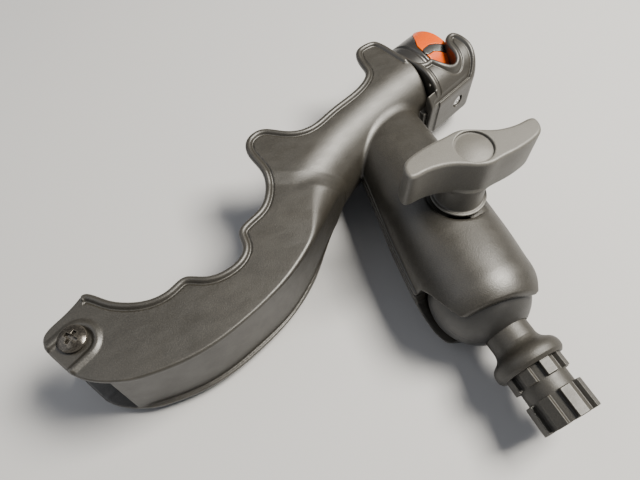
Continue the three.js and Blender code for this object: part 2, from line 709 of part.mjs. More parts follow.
function turnToDetent(geometry) {
  geometry.rotateZ(DETENT_ANGLE);
  geometry.translate(COLLAR_RISE, 0, DETENT_S);
  return geometry;
}

function detentBall() {
  const geometry = new THREE.SphereGeometry(DETENT_BALL_R, 12, 8);
  geometry.translate(DETENT_BALL_OUT, 0, 0);
  return onBarrel(turnToDetent(geometry));
}

function detentSpring() {
  const geometry = geometryOf(coil(0, 0, 1.45, 0.3, 0, 5, 4));
  geometry.rotateY(Math.PI / 2);
  geometry.translate(DETENT_BALL_OUT + DETENT_BALL_R + 0.2, 0, 0);
  return onBarrel(turnToDetent(geometry));
}

const RING_FROM = -90 + COLLAR_GAP / 2;
const RING_TO = 270 - COLLAR_GAP / 2;

/** Where the black collar stops and the grip starts, at an angle round the ring. */
const splitAt = (angle) => ramp(angle, [[40, COLLAR_END], [45, 127], [84, 113], [95, COLLAR_SPLIT]]);

/** The space ahead of the slanted split between the collar and its grip. */
function aheadOfSplit(extra) {
  const [slantFrom, slantTo, step] = [40, 95, 5];
  const front = COLLAR_END + 5;
  const parts = [sector(15, 35, slantTo, RING_TO + 5, COLLAR_SPLIT + extra, front)];
  for (let angle = slantFrom; angle < slantTo; angle += step) {
    parts.push(sector(15, 35, angle, angle + step + 1, splitAt(angle + step) + extra, front, 2));
  }
  return union(...parts);
}

/** The black part of the lock collar, a C-shaped ring with a track for the detent ball. */
function lockCollar() {
  const track = collarBore(COLLAR_OUT + 3, DETENT_S - 2.4, DETENT_S + 2.4)
    .subtract(collarBore(23.8, DETENT_S - 3, DETENT_S + 3));
  return sector(SPIGOT_OUT + GAP, COLLAR_OUT, RING_FROM, RING_TO, COLLAR_START, COLLAR_END, 20)
    .subtract(track)
    .subtract(aheadOfSplit(-GAP));
}

// The grip's black band, as [angle, s] points along its middle, and half its width in degrees.
const BAND = [[102, 114.5], [102, 119], [107, 122.5], [113, 125.5], [120, 128.5]];
const BAND_HALF = 4.5;

/** The space of the band in the grip, grown by extra. */
function bandSpace(extra) {
  const parts = BAND.slice(1).map(([angle, s], i) => {
    const [lastAngle, lastS] = BAND[i];
    return sector(BAND_IN - extra, GRIP_OUT + extra, lastAngle - BAND_HALF - extra,
      angle + BAND_HALF + extra, lastS - extra, s + 0.1 + extra, 3);
  });
  return union(...parts);
}

function collarBand() {
  return bandSpace(0);
}

/** The orange grip on the collar's near side and front. */
function collarGrip() {
  return sector(SPIGOT_OUT + GAP, GRIP_OUT, RING_FROM, RING_TO, COLLAR_START, COLLAR_END, 20)
    .intersect(aheadOfSplit(0))
    .subtract(bandSpace(0.15));
}

function yokeScrew() {
  const [x, y] = barrelPoint(YOKE_SCREW_S, 0);
  const screw = geometryOf(panScrew(
    0, 0, 0, YOKE_HEAD_R, YOKE_HEAD_H, YOKE_SCREW_R, -YOKE_SCREW_LENGTH));
  screw.rotateX(Math.PI / 2);
  screw.translate(0, SCREW_SEAT - GAP, 0);
  return placed(screw, [x, y, 0], [0, 0, BARREL_TILT]);
}

function yokeNut() {
  const [x, y] = barrelPoint(YOKE_SCREW_S, 0);
  const [low, high] = YOKE_NUT_N;
  const nut = geometryOf(hexNut(0, 0, YOKE_NUT_R, YOKE_HOLE_R, 0, high - low));
  nut.rotateX(-Math.PI / 2);
  nut.translate(0, low, 0);
  return placed(nut, [x, y, 0], [0, 0, BARREL_TILT]);
}

// ---------------------------------------------------------------- finishes and assembly

const BLACK = finish(0x1b1a18, 0.42, 0);
const GREY = finish(0x4a4842, 0.6, 0);
const BALL_BLACK = finish(0x141414, 0.55, 0);
const ORANGE = finish(0xf0520c, 0.22, 0);
const STEEL = finish(0x9a9c9f, 0.3, 1);
const DARK_STEEL = finish(0x2a2826, 0.35, 1);
const BRASS = finish(0xb08a3c, 0.35, 1);

const PIECES = [
  ['cradle_body', cradleBody, BLACK],
  ['tail_sleeve', tailSleeve, BLACK],
  ['tail_screw', tailScrew, DARK_STEEL],
  ['tail_nut', tailNut, STEEL],
  ['clamp_jaw', clampJaw, BLACK],
  ['clamp_bolt', clampBolt, STEEL],
  ['jaw_spring', jawSpring, STEEL],
  ['knob_washer', () => tubeZ(KNOB_X, KNOB_Y, BOLT_R + GAP, WASHER_R, ...WASHER_Z), STEEL],
  ['wing_knob', wingKnob, GREY],
  ['knob_insert', knobInsert, BRASS],
  ['ball_cover', ballCover, BALL_BLACK],
  ['spline_post', splinePost, BLACK],
  ['front_yoke', frontYoke, BLACK],
  ['yoke_screw', yokeScrew, STEEL],
  ['yoke_nut', yokeNut, STEEL],
  ['lock_collar', lockCollar, BLACK],
  ['collar_grip', collarGrip, ORANGE],
  ['collar_band', collarBand, BLACK],
  ['detent_ball', detentBall, STEEL],
  ['detent_spring', detentSpring, STEEL],
];

const holder = new THREE.Group();
holder.position.set(0, POST_LENGTH, 0);
for (const [name, make, material] of PIECES) {
  holder.add(piece(name, make(), material));
}

export default holder;
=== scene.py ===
"""Looks for the rod holder: smooth moulded bodies, metal fittings, materials, light and camera.

Every body is drawn as a distance field in millimetres and turned into a closed mesh. The fields'
origin is the ball's centre: X toward the rod's tip, -Y along the post, +Z along the knob's bolt.
The rod's barrel has directions of its own: s along its axis and n up from it.
"""

import math

import bmesh
import bpy
import numpy as np
from mathutils import Matrix, Vector


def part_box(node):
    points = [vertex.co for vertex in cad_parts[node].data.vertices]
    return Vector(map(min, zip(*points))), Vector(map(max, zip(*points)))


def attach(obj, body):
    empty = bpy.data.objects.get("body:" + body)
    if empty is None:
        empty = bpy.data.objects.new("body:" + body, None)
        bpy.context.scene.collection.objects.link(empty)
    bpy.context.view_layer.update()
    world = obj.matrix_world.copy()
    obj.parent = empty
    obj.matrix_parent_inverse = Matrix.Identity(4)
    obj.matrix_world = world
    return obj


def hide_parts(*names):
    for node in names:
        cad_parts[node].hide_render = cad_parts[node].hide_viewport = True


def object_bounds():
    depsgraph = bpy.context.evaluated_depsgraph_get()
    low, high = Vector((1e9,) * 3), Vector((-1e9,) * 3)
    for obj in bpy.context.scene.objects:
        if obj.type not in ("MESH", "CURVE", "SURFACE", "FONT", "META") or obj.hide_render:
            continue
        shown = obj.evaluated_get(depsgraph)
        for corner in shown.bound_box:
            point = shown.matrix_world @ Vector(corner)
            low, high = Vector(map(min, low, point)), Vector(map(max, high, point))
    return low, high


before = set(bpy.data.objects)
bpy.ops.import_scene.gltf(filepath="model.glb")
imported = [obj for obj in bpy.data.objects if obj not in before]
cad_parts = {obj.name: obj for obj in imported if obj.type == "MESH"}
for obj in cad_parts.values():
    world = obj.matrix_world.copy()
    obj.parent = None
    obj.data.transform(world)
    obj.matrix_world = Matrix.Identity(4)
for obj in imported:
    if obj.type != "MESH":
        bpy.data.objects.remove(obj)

CAD_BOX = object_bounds()

# ---- sizes, in millimetres

MM = 0.001
POST_LENGTH = 79.0  # ball centre to the post's end face
WALL = 3.2

BALL_R = 28.575
NECK_R = 12.7
FLARE_R = 19.8
SPLINE_R = 16.2
GROOVE_R = 13.6
SPLINE_RUNS = ((-56.0, -48.0), (-79.0, -63.6))
SPLINE_TEETH = 8
TOOTH_HALF = 3.05

TROUGH_HALF = 26.8  # half width over the flat side walls
BARREL_R = 28.5
BARREL_TILT = math.radians(17.6)
BARREL_HEIGHT = 137.0  # from the ball's centre square to the barrel's axis
FLOOR_RISE = 5.7
FLOOR_END_X = -196.0  # the rod's floor stops here, short of the tail pin
CREASE_POINT = (-60.0, 98.4)  # on the slanted crease where the flat wall meets the barrel
CREASE_WAY = (0.47, 0.883)  # square to the crease, toward the barrel
BEAD_R = 1.9  # rounded bead along the rim
RIM_GROOVE_R = 0.75  # fine groove that sets the bead off from the wall

TAIL_PIN = (-205.0, 67.8)
TAIL_BOSS = (-203.2, 65.2)  # middle of the sunken U round the tail screw
TAIL_BOSS_R = 9.4
TAIL_BOSS_WAY = (-0.92, -0.39)  # the way that the U is open
TAIL_HOLE_R = 2.8
TAIL_SLEEVE_R = 5.0
TAIL_SLEEVE_HALF = 23.3  # half length, between the side walls
TAIL_SEAT_Z = 27.1  # under the screw's head and under the nut
TAIL_SCREW = (7.5, 3.0, 2.5, 31.4)  # head radius and height, shank radius and length
TAIL_NUT_R = 5.4  # to its corners
TAIL_NUT_END = -31.0

SOCKET_R = 33.5
PARTING = 0.6  # half the gap between the arm's halves
ARM_WALL = 4.0
HOLLOW_Y = (24, 112)  # the arm's inside is hollow between these
LIP_OUT, LIP_TOP = 1.1, 3.6  # raised edge where the arm's halves face each other
JAW_ROOM = 0.6  # the far jaw stays this far off the barrel
JAW_END_S = 60.0
KNOB_X, KNOB_Y = 12.6, 49.3  # the bolt's place
SEAT_R, SEAT_Z = 17.4, 28.6  # the flat under the knob's washer
PILLAR_R = 9.5  # post round the bolt inside each half
PILLAR_Z = (9, 28.4)
BOLT_R, BOLT_TOP = 4.0, 60.0
BOLT_HEAD_R = 7.3  # to its corners
BOLT_HEAD_Z = (-29.3, -23.8)
BOLT_POCKET_R, BOLT_POCKET_TOP = 7.6, -23.5
THREAD_BORE_R = 4.3  # bore of washer and insert
SPRING_R, SPRING_WIRE_R = 6.0, 0.8
SPRING_HALF = 7.8  # half length of the return spring's middle line
WASHER_R, WASHER_Z = 12.5, (28.9, 30.1)

KNOB_LOW = 30.4
KNOB_BOSS_R = 14.0
KNOB_BOSS_DRAFT = 0.035  # how much the boss narrows for each millimetre up
KNOB_FOOT_R, KNOB_FOOT_TOP = 16.2, 31.9
WING_LOW, WING_TOP = 46.0, 71.0
WING_EDGE = 1.9  # rounding of the wing's edges
DISH_R, DISH_DEPTH = 10.3, 1.5  # round hollow in the wing's top
DOME_R, DOME_RISE = 9.3, 1.1  # and the low button in it
INSERT_R, INSERT_Z = 6.5, (30.6, 62)
INSERT_ROOM_R, INSERT_ROOM_TOP = 6.8, 64.0

SHANK_R, SHANK_TOP = 8.0, 12.0  # the post's stub inside the ball
NECK_TOP = -24.5
COVER_GAP = 0.3  # between the ball's cover and the post

COLLAR_RISE = 2.5  # the lock collar's axis above the barrel's axis
SPIGOT_START = 88.0
SPIGOT_IN, SPIGOT_OUT = 18.4, 21.0
WEB_S = (86, 90.4)  # plate that joins the barrel to its spigot
TONGUE_S = (80, 126)  # tongue under the collar that carries the yoke
TONGUE_LOW, TONGUE_TOP, TONGUE_HALF = -31.5, -27.0, 8.0
COLLAR_OUT, GRIP_OUT = 24.7, 25.3
COLLAR_START, COLLAR_END = 98.5, 131.5
COLLAR_SPLIT = 112.0
COLLAR_GAP = 100.0  # degrees left open for the rod
GAP_MIDDLE = -90.0  # its direction, toward the far side
RUN_GAP = 0.3  # between pieces that turn or slide on each other
BAND_FLOOR = 23.6  # bottom of the band's groove in the grip
BAND_HALF, BAND_GROOVE_HALF = 3.0, 3.2
DETENT_S = 108.0
DETENT_ANGLE = 142.0
DETENT_BALL_R, DETENT_BALL_OUT = 2.0, 26.1
TRACK_R, TRACK_OUT = 2.3, 1.2  # the detent ball's track round the collar
DETENT_COIL_R, DETENT_WIRE_R = 1.45, 0.3
DETENT_COIL_OUT = (28.7, 32.8)

YOKE_HALF = 28.2
YOKE_BOTTOM = -35.0
YOKE_SCREW_S = 114.0
YOKE_SEAT_N = -33.9  # under the screw's head
YOKE_SCREW = (4.2, 2.2, 1.9, 10.5)  # as TAIL_SCREW
HEAD_ROOM_R, HEAD_ROOM_TOP = 4.8, 1.4
YOKE_HOLE_R = 2.3
YOKE_NUT_R, YOKE_NUT_BORE = 4.05, 2.2
YOKE_NUT_N = (-26.4, -23.2)
NUT_SLOT_HALF, NUT_SLOT_N = 4.4, (-28, -20)

MOST_TRIANGLES = 190_000  # a mesh with more is thinned
THINNED_TO = 143_000  # which leaves room for splitting its long edges
LONGEST_EDGE = 4.0  # after thinning

COARSE = 1.0

# ---- curves and ramps


def ramp(pairs, blur=4.0):
    """A function through (x, value) pairs, level beyond them, with its corners rounded over blur."""
    xs, values = np.array(pairs, float).T
    step = blur / 6
    reach = 3 * blur
    fine = np.arange(xs[0] - 2 * reach, xs[-1] + 2 * reach, step)
    offsets = np.arange(-reach, reach + step / 2, step)
    weights = np.exp(-0.5 * (offsets / blur) ** 2)
    pad = len(weights) // 2
    level = np.pad(np.interp(fine, xs, values), pad, mode="edge")
    soft = np.convolve(level, weights / weights.sum(), "valid")[: len(fine)]
    return lambda x: np.interp(x, fine, soft)


def spline(points, count, closed=False):
    """Evenly stepped points of a smooth curve through the given ones."""
    p = np.array(points, float)
    if closed:
        p = np.vstack([p[-3:], p, p[:4]])
    steps = np.sqrt(np.linalg.norm(np.diff(p, axis=0), axis=1))
    t = np.concatenate([[0], np.cumsum(steps)])
    n = len(p)
    a = np.zeros((n, n))
    b = np.zeros((n, 2))
    a[0, 0] = a[-1, -1] = 1
    for i in range(1, n - 1):
        h0, h1 = t[i] - t[i - 1], t[i + 1] - t[i]
        a[i, i - 1 : i + 2] = h0, 2 * (h0 + h1), h1
        b[i] = 6 * ((p[i + 1] - p[i]) / h1 - (p[i] - p[i - 1]) / h0)
    bend = np.linalg.solve(a, b)
    lo, hi = (t[3], t[-4]) if closed else (t[0], t[-1])
    u = np.linspace(lo, hi, count, endpoint=not closed)
    k = np.clip(np.searchsorted(t, u) - 1, 0, n - 2)
    h = (t[k + 1] - t[k])[:, None]
    f = ((u - t[k])[:, None]) / h
    g = 1 - f
    return g * p[k] + f * p[k + 1] + h * h / 6 * ((g**3 - g) * bend[k] + (f**3 - f) * bend[k + 1])


def barrel_point(s, n):
    """X and Y of a point s along the barrel's axis and n above it."""
    c, d = math.cos(BARREL_TILT), math.sin(BARREL_TILT)
    return (s * c - (BARREL_HEIGHT + n) * d, s * d + (BARREL_HEIGHT + n) * c)


def barrel_frame(x, y):
    """How far X, Y lies along the barrel's axis, and how far above it."""
    c, d = math.cos(BARREL_TILT), math.sin(BARREL_TILT)
    return x * c + y * d, y * c - x * d - BARREL_HEIGHT


# ---- distance fields


def both(a, b, r=0.0):
    """What two fields share, its edge rounded to radius r."""
    if not r:
        return np.maximum(a, b)
    corner = np.hypot(np.maximum(a + r, 0), np.maximum(b + r, 0))
    return np.minimum(np.maximum(a, b), -r) + corner


def either(a, b, r=0.0):
    """Two fields joined, with a fillet of radius r."""
    if not r:
        return np.minimum(a, b)
    corner = np.hypot(np.maximum(r - a, 0), np.maximum(r - b, 0))
    return np.maximum(np.minimum(a, b), r) - corner


def less(a, b, r=0.0):
    """a with b cut away, the cut's edge rounded to radius r."""
    return both(a, -b, r)


def between(value, low, high):
    """Distance to the slab from low to high."""
    return np.abs(value - (low + high) / 2) - (high - low) / 2


def disc(x, y, cx, cy, r):
    """A round rod along Z."""
    return np.hypot(x - cx, y - cy) - r


def sphere(x, y, z, r):
    """A sphere about the ball's centre."""
    return np.sqrt(x * x + y * y + z * z) - r


def to_segment(x, y, ax, ay, bx, by):
    """The nearest point's share of the way from a to b, and the distance squared."""
    ex, ey = bx - ax, by - ay
    wx, wy = x - ax, y - ay
    t = np.clip((wx * ex + wy * ey) / max(ex * ex + ey * ey, 1e-12), 0, 1)
    return t, (wx - t * ex) ** 2 + (wy - t * ey) ** 2


def outline_distance(points, x, y):
    """Signed distance to a closed outline, negative inside it."""
    p = np.array(points, float)
    best = np.full(np.shape(x), 1e9)
    inside = np.zeros(np.shape(x), bool)
    for (ax, ay), (bx, by) in zip(p, np.roll(p, -1, axis=0)):
        best = np.minimum(best, to_segment(x, y, ax, ay, bx, by)[1])
        if ay != by:
            crosses = (ay > y) != (by > y)
            inside ^= crosses & (x < (bx - ax) * (y - ay) / (by - ay) + ax)
    return np.where(inside, -1, 1) * np.sqrt(best)


class Chart:
    """Values worked out once over a flat area and read between its points afterwards."""

    def __init__(self, low, high, step, work):
        self.low, self.step = low, step
        u = np.arange(low[0], high[0] + step, step)
        v = np.arange(low[1], high[1] + step, step)
        gu, gv = np.meshgrid(u, v, indexing="ij")
        made = work(gu, gv)
        self.layers = [np.asarray(m) for m in (made if isinstance(made, tuple) else (made,))]

    def __call__(self, u, v):
        u, v = np.broadcast_arrays(u, v)
        shape = self.layers[0].shape
        fu = np.clip((u - self.low[0]) / self.step, 0, shape[0] - 1.001)
        fv = np.clip((v - self.low[1]) / self.step, 0, shape[1] - 1.001)
        i, j = fu.astype(int), fv.astype(int)
        fu, fv = fu - i, fv - j
        out = []
        for m in self.layers:
            near = m[i, j] * (1 - fv) + m[i, j + 1] * fv
            far = m[i + 1, j] * (1 - fv) + m[i + 1, j + 1] * fv
            out.append(near * (1 - fu) + far * fu)
        return out if len(out) > 1 else out[0]


def outline_chart(points, low, high, step):
    """Distances to a closed outline, as a chart."""
    return Chart(low, high, step, lambda u, v: outline_distance(points, u, v))


def nearby(field, low, high, x, y, z, beyond=12.0):
    """A field worked out only inside a box. Elsewhere it says beyond, which is well outside."""
    shape = np.broadcast_shapes(np.shape(x), np.shape(y), np.shape(z))
    out = np.full(shape, beyond)
    if len(shape) == 3:
        cut = []
        for axis, values in enumerate((x, y, z)):
            inside = np.nonzero((values.ravel() >= low[axis]) & (values.ravel() <= high[axis]))[0]
            if not len(inside):
                return out
            cut.append(slice(inside[0], inside[-1] + 1))
        out[tuple(cut)] = field(x[cut[0]], y[:, cut[1]], z[:, :, cut[2]])
        return out
    inside = np.ones(shape, bool)
    for axis, values in enumerate((x, y, z)):
        inside &= (values >= low[axis]) & (values <= high[axis])
    out[inside] = field(x[inside], y[inside], z[inside])
    return out


# ---- fields into meshes


def slopes(field, p, step=0.04):
    """The field's gradient at points p."""
    out = np.empty_like(p)
    for axis in range(3):
        shift = np.zeros(3)
        shift[axis] = step
        out[:, axis] = (field(*(p + shift).T) - field(*(p - shift).T)) / (2 * step)
    return out


def curvature(field, p, step=0.7):
    """How sharply the surface bends out at points p: about 1 / radius on an edge, below 0 in a groove."""
    total = -6 * field(*p.T)
    for axis in range(3):
        shift = np.zeros(3)
        shift[axis] = step
        total += field(*(p + shift).T) + field(*(p - shift).T)
    return np.clip(total / step**2, -2, 2).astype(np.float32)


def net(field, low, high, cell):
    """Points and quads of a field's zero surface: one point in each cell that it crosses."""
    axes = [np.arange(a - cell, b + 2 * cell, cell) for a, b in zip(low, high)]
    sizes = [len(a) for a in axes]
    grid = [a.reshape([-1 if k == axis else 1 for k in range(3)]) for axis, a in enumerate(axes)]
    values = np.empty(sizes, np.float32)
    slab = max(1, int(3e6 // (sizes[1] * sizes[2])))
    for start in range(0, sizes[0], slab):
        part = slice(start, start + slab)
        values[part] = field(grid[0][part], grid[1], grid[2])
    inside = values < 0
    corners = [(i, j, k) for i in (0, 1) for j in (0, 1) for k in (0, 1)]

    def at(c, m):
        return m[c[0] : sizes[0] - 1 + c[0], c[1] : sizes[1] - 1 + c[1], c[2] : sizes[2] - 1 + c[2]]

    some = np.zeros([s - 1 for s in sizes], bool)
    every = np.ones([s - 1 for s in sizes], bool)
    for c in corners:
        some |= at(c, inside)
        every &= at(c, inside)
    cells = np.argwhere(some & ~every)
    number = np.full([s - 1 for s in sizes], -1, np.int32)
    number[tuple(cells.T)] = np.arange(len(cells))
    held = {c: values[tuple((cells + c).T)] for c in corners}
    total = np.zeros((len(cells), 3))
    count = np.zeros(len(cells))
    for c in corners:
        for axis in range(3):
            if c[axis]:
                continue
            d = tuple(1 if k == axis else c[k] for k in range(3))
            cut = (held[c] < 0) != (held[d] < 0)
            with np.errstate(divide="ignore", invalid="ignore"):
                t = np.where(cut, held[c] / (held[c] - held[d]), 0)
            spot = np.array(c, float) + np.outer(t, np.eye(3)[axis])
            total += spot * cut[:, None]
            count += cut
    points = np.array([a[0] for a in axes]) + cell * (cells + total / count[:, None])
    quads = []
    for axis in range(3):
        b, c = [(1, 2), (2, 0), (0, 1)][axis]
        first = tuple(slice(0, -1) if k == axis else slice(1, -1) for k in range(3))
        second = tuple(slice(1, None) if k == axis else slice(1, -1) for k in range(3))
        where = np.argwhere(inside[first] != inside[second])
        where[:, b] += 1
        where[:, c] += 1
        outward = inside[tuple(where.T)]
        ring = []
        for db, dc in ((1, 1), (0, 1), (0, 0), (1, 0)):
            q = where.copy()
            q[:, b] -= db
            q[:, c] -= dc
            ring.append(number[tuple(q.T)])
        ring = np.array(ring).T
        ring[~outward] = ring[~outward][:, ::-1]
        quads.append(ring)
    return points, np.vstack(quads)


def settle(field, p, limit, rounds=3):
    """Points moved onto the field's zero surface, each by no more than limit."""
    p = p.copy()
    for _ in range(rounds):
        g = slopes(field, p)
        square = np.maximum((g * g).sum(1), 0.05)
        move = -(field(*p.T) / square)[:, None] * g
        length = np.linalg.norm(move, axis=1, keepdims=True)
        p += move * np.minimum(1, limit / np.maximum(length, 1e-9))
    return p


def place(name, data):
    """A new object in the scene that shows data."""
    obj = bpy.data.objects.new(name, data)
    bpy.context.scene.collection.objects.link(obj)
    return obj


def evaluated_mesh(obj):
    """A new mesh of obj as its modifiers or bevel make it."""
    bpy.context.view_layer.update()
    return bpy.data.meshes.new_from_object(
        obj.evaluated_get(bpy.context.evaluated_depsgraph_get()))


def split_long_edges(mesh, longest):
    """Halves edges over longest metres, so that shading on a flat doesn't streak from its rim."""
    work = bmesh.new()
    work.from_mesh(mesh)
    for _ in range(3):
        edges = [e for e in work.edges if e.calc_length() > longest]
        if not edges:
            break
        bmesh.ops.subdivide_edges(work, edges=edges, cuts=1)
        bmesh.ops.triangulate(work, faces=work.faces[:])
    work.to_mesh(mesh)
    work.free()


def body(name, field, low, high, cell):
    """A closed, smooth-shaded piece from a field, thinned where it is flat."""
    cell *= COARSE
    points, quads = net(field, low, high, cell)
    points = settle(field, points, cell * 0.6)
    mesh = bpy.data.meshes.new(name)
    mesh.from_pydata((points * MM).tolist(), [], quads.tolist())
    obj = place(name, mesh)
    if 2 * len(quads) > MOST_TRIANGLES:
        thin = obj.modifiers.new("thin", "DECIMATE")
        thin.ratio = THINNED_TO / (2 * len(quads))
        thinned = evaluated_mesh(obj)
        obj.modifiers.clear()
        obj.data = thinned
        bpy.data.meshes.remove(mesh)
        mesh = thinned
        mesh.name = name
        split_long_edges(mesh, LONGEST_EDGE * MM)
    co = np.empty(len(mesh.vertices) * 3)
    mesh.vertices.foreach_get("co", co)
    points = co.reshape(-1, 3) / MM
    normals = slopes(field, points, 0.12)
    normals /= np.maximum(np.linalg.norm(normals, axis=1, keepdims=True), 1e-9)
    mesh.vertices.foreach_set("co", ((points + (0, POST_LENGTH, 0)) * MM).ravel())
    mesh.shade_smooth()
    mesh.normals_split_custom_set_from_vertices(normals.tolist())
    ends = np.empty(2 * len(mesh.edges), np.int32)
    mesh.edges.foreach_get("vertices", ends)
    length = np.linalg.norm(points[ends[0::2]] - points[ends[1::2]], axis=1)
    reach = np.zeros(len(points))
    np.maximum.at(reach, ends, np.repeat(length, 2))
    wear = curvature(field, points) * np.clip(2.5 - reach / (2 * cell), 0, 1)
    bend = mesh.attributes.new("bend", "FLOAT", "POINT")
    bend.data.foreach_set("value", wear.astype(np.float32))
    mesh.update()
    return obj


# ---- cradle: charts of its side view

BELLY_LINE = spline([
    (-236, 44), (-209, 38.5), (-190, 35), (-172, 32), (-151, 31.5), (-128, 36), (-102, 45),
    (-85, 54), (-70, 65), (-55, 78.5), (-38, 91.5), (-18, 103.5), (6, 114.5),
    barrel_point(60, -BARREL_R), barrel_point(100, -BARREL_R), barrel_point(125, -BARREL_R),
], 240)

# Rim of the side walls from the tail up to the ear.
RIM_BACK = [
    (-182, 32.2), (-191, 36.4), (-199, 40.5), (-209, 49), (-215, 60), (-218.6, 69),
    (-217.5, 76.5), (-208, 82), (-198, 87.5), (-193, 89.5), (-184.5, 81.5), (-176, 75),
    (-166, 71), (-155, 71), (-147, 74), (-142, 74), (-134, 69.6), (-125, 68), (-115, 70.5),
    (-109, 77), (-107.5, 86), (-101, 91), (-91.5, 95), (-85, 101), (-79.5, 112),
]
# The ear at the back of the barrel: tall on the knob's side, shorter on the far side.
NEAR_EAR = [(-79, 123), (-80.5, 134), (-77, 144), (-67, 148), (-59, 144.5), (-50, 138)]
FAR_EAR = [(-78, 121), (-75, 131), (-70, 138), (-62, 141.5), (-55, 140), (-48, 137.5)]
# On over the barrel to its front edge.
RIM_FRONT = [
    (-37, 136), (-20, 142), (-1.6, 148), (10.8, 154), (17.5, 161), (18.4, 169), (21, 180),
    (27, 184.3), barrel_point(90.8, 28.2), barrel_point(93.4, 24.6), barrel_point(94.4, 19),
]
FRONT_EDGE = spline([barrel_point(s, n) for s, n in (
    (94.4, 19), (94, -4), (92.4, -14.4), (89.8, -24.7), (87, -BARREL_R - 2))], 20)


def rim_line(ear):
    """The closed side view of one wall, with the ear that it has."""
    line = spline(RIM_BACK + ear + RIM_FRONT, 260)
    return np.vstack([line, FRONT_EDGE[1:], [(40, 20), (-170, 10)]])


def along_belly(x, y):
    """For each X, Y: the X of the nearest belly point, and the height square above the belly."""
    best = np.full(x.shape, 1e9)
    foot = np.zeros(x.shape)
    side = np.ones(x.shape)
    for (ax, ay), (bx, by) in zip(BELLY_LINE, BELLY_LINE[1:]):
        t, gap = to_segment(x, y, ax, ay, bx, by)
        closer = gap < best
        best = np.where(closer, gap, best)
        foot = np.where(closer, ax + t * (bx - ax), foot)
        turn = (bx - ax) * (y - ay) - (by - ay) * (x - ax)
        side = np.where(closer, np.where(turn < 0, -1, 1), side)
    return foot, side * np.sqrt(best)


SIDE_LOW, SIDE_HIGH = (-226, -40), (140, 200)
belly_at = Chart(SIDE_LOW, SIDE_HIGH, 0.8, along_belly)
near_rim_at = outline_chart(rim_line(NEAR_EAR), SIDE_LOW, SIDE_HIGH, 0.5)
far_rim_at = outline_chart(rim_line(FAR_EAR), SIDE_LOW, SIDE_HIGH, 0.5)

flat_corner = ramp([(-115, 1.6), (-70, 2.6), (-60, 8), (-46, 16)])
barrel_share = ramp([(0, 0), (0.9, 0.95), (1.4, 1)], 0.06)
inner_corner = ramp([(-150, 15), (-60, 18), (-15, BARREL_R - WALL)])
floor_height = ramp([(-90, FLOOR_RISE), (-40, WALL)])
recess_half = ramp([(-95, TROUGH_HALF - WALL), (-36, 13)])
recess_depth = ramp([(-120, FLOOR_RISE - WALL), (-36, 0.3)])


def into_barrel(x, y, n):
    """0 beside the grip's flat walls, rising to 1 past the slanted crease where the barrel starts."""
    past = CREASE_WAY[0] * (x - CREASE_POINT[0]) + CREASE_WAY[1] * (y - CREASE_POINT[1])
    width = 9 + 5 * np.clip(1 - n / BARREL_R, 0, 1)
    return barrel_share(past / width)


def u_section(n, z, half, corner, low):
    """A wide U's filled section: sides at half, a bottom at low, its corners rounded."""
    corner = np.minimum(corner, half - 0.01)
    a = np.abs(z) - (half - corner)
    b = corner - (n - low)
    return np.minimum(np.maximum(a, b), 0) + np.hypot(np.maximum(a, 0), np.maximum(b, 0)) - corner


def tail_boss(x, y):
    """The U-shaped outline round the tail screw, open toward the tail's lower end."""
    u, v = x - TAIL_BOSS[0], y - TAIL_BOSS[1]
    way_x, way_y = TAIL_BOSS_WAY
    forward = u * way_x + v * way_y
    across = v * way_x - u * way_y
    return np.hypot(across, np.minimum(forward, 0)) - TAIL_BOSS_R


def bead_fade(x, y):
    """0 along the rim, 1 where its bead has run out: low on the front edge and under the tail."""
    s, up = barrel_frame(x, y)
    front = np.clip((s - 84) / 6, 0, 1) * np.clip((-1 - up) / 5, 0, 1)
    tail = np.clip(np.maximum(-195 - x, 60 - y) / 3, 0, 1)
    return np.maximum(front, tail)


def trough(x, y, z):
    """The open trough of tail, grip and barrel, with its rim bead, floor recess and screw boss."""
    foot, n = belly_at(x, y)
    rim = np.where(z > 0, near_rim_at(x, y), far_rim_at(x, y))
    share = into_barrel(x, y, n)
    half = TROUGH_HALF + (BARREL_R - TROUGH_HALF) * share
    flat = u_section(n, z, TROUGH_HALF, flat_corner(foot), 0)
    shape = flat + (u_section(n, z, BARREL_R, BARREL_R, 0) - flat) * share
    channel = u_section(n, z, half - WALL, inner_corner(foot), floor_height(foot))
    under = both(np.abs(z) - recess_half(foot), n - recess_depth(foot), 0.8)
    under = both(under, foot + 34, 0.8)
    shape = less(less(shape, channel, 1.1), under, 0.9)
    shape = both(shape, rim, 1.2)
    sunk = 3 * bead_fade(x, y)
    bead = np.hypot(np.abs(z) - (half - 0.7), rim + BEAD_R) - BEAD_R + sunk
    bead = both(bead, 0.5 - n, 0.8)
    groove_line = rim + 2 * BEAD_R + RIM_GROOVE_R
    groove = np.hypot(np.abs(z) - (half + 0.15), groove_line) - RIM_GROOVE_R + sunk
    shape = less(either(shape, bead, 0.4), groove, 0.3)
    shape = less(shape, both(x - FLOOR_END_X, np.abs(z) - (TROUGH_HALF - WALL), 0.6), 0.6)
    boss = tail_boss(x, y)
    pocket = both(boss, TROUGH_HALF - 0.9 - np.abs(z))
    shape = less(shape, pocket, 0.8)
    lip = np.hypot(boss, np.abs(z) - (TROUGH_HALF - 0.7)) - 1.9
    lip = both(both(lip, rim + 0.6, 1.2), 1 - n, 0.8)
    return less(either(shape, lip, 1.6), disc(x, y, *TAIL_PIN, TAIL_HOLE_R), 0.3)


# ---- arm

arm_shift = ramp([(0, 0), (17, 1.6), (50, 4.8), (97, 11), (130, 15)], 5)
arm_wide = ramp([(0, SOCKET_R), (17, 33.6), (50, 31.4), (97, 28), (130, 26)], 5)
arm_high = ramp([(0, SOCKET_R), (12, 33.2), (30, 31.8), (62, 29.6), (100, 24), (130, 19.5)], 5)
arm_power = ramp([(4, 2), (50, 2.5), (130, 2.4)], 5)


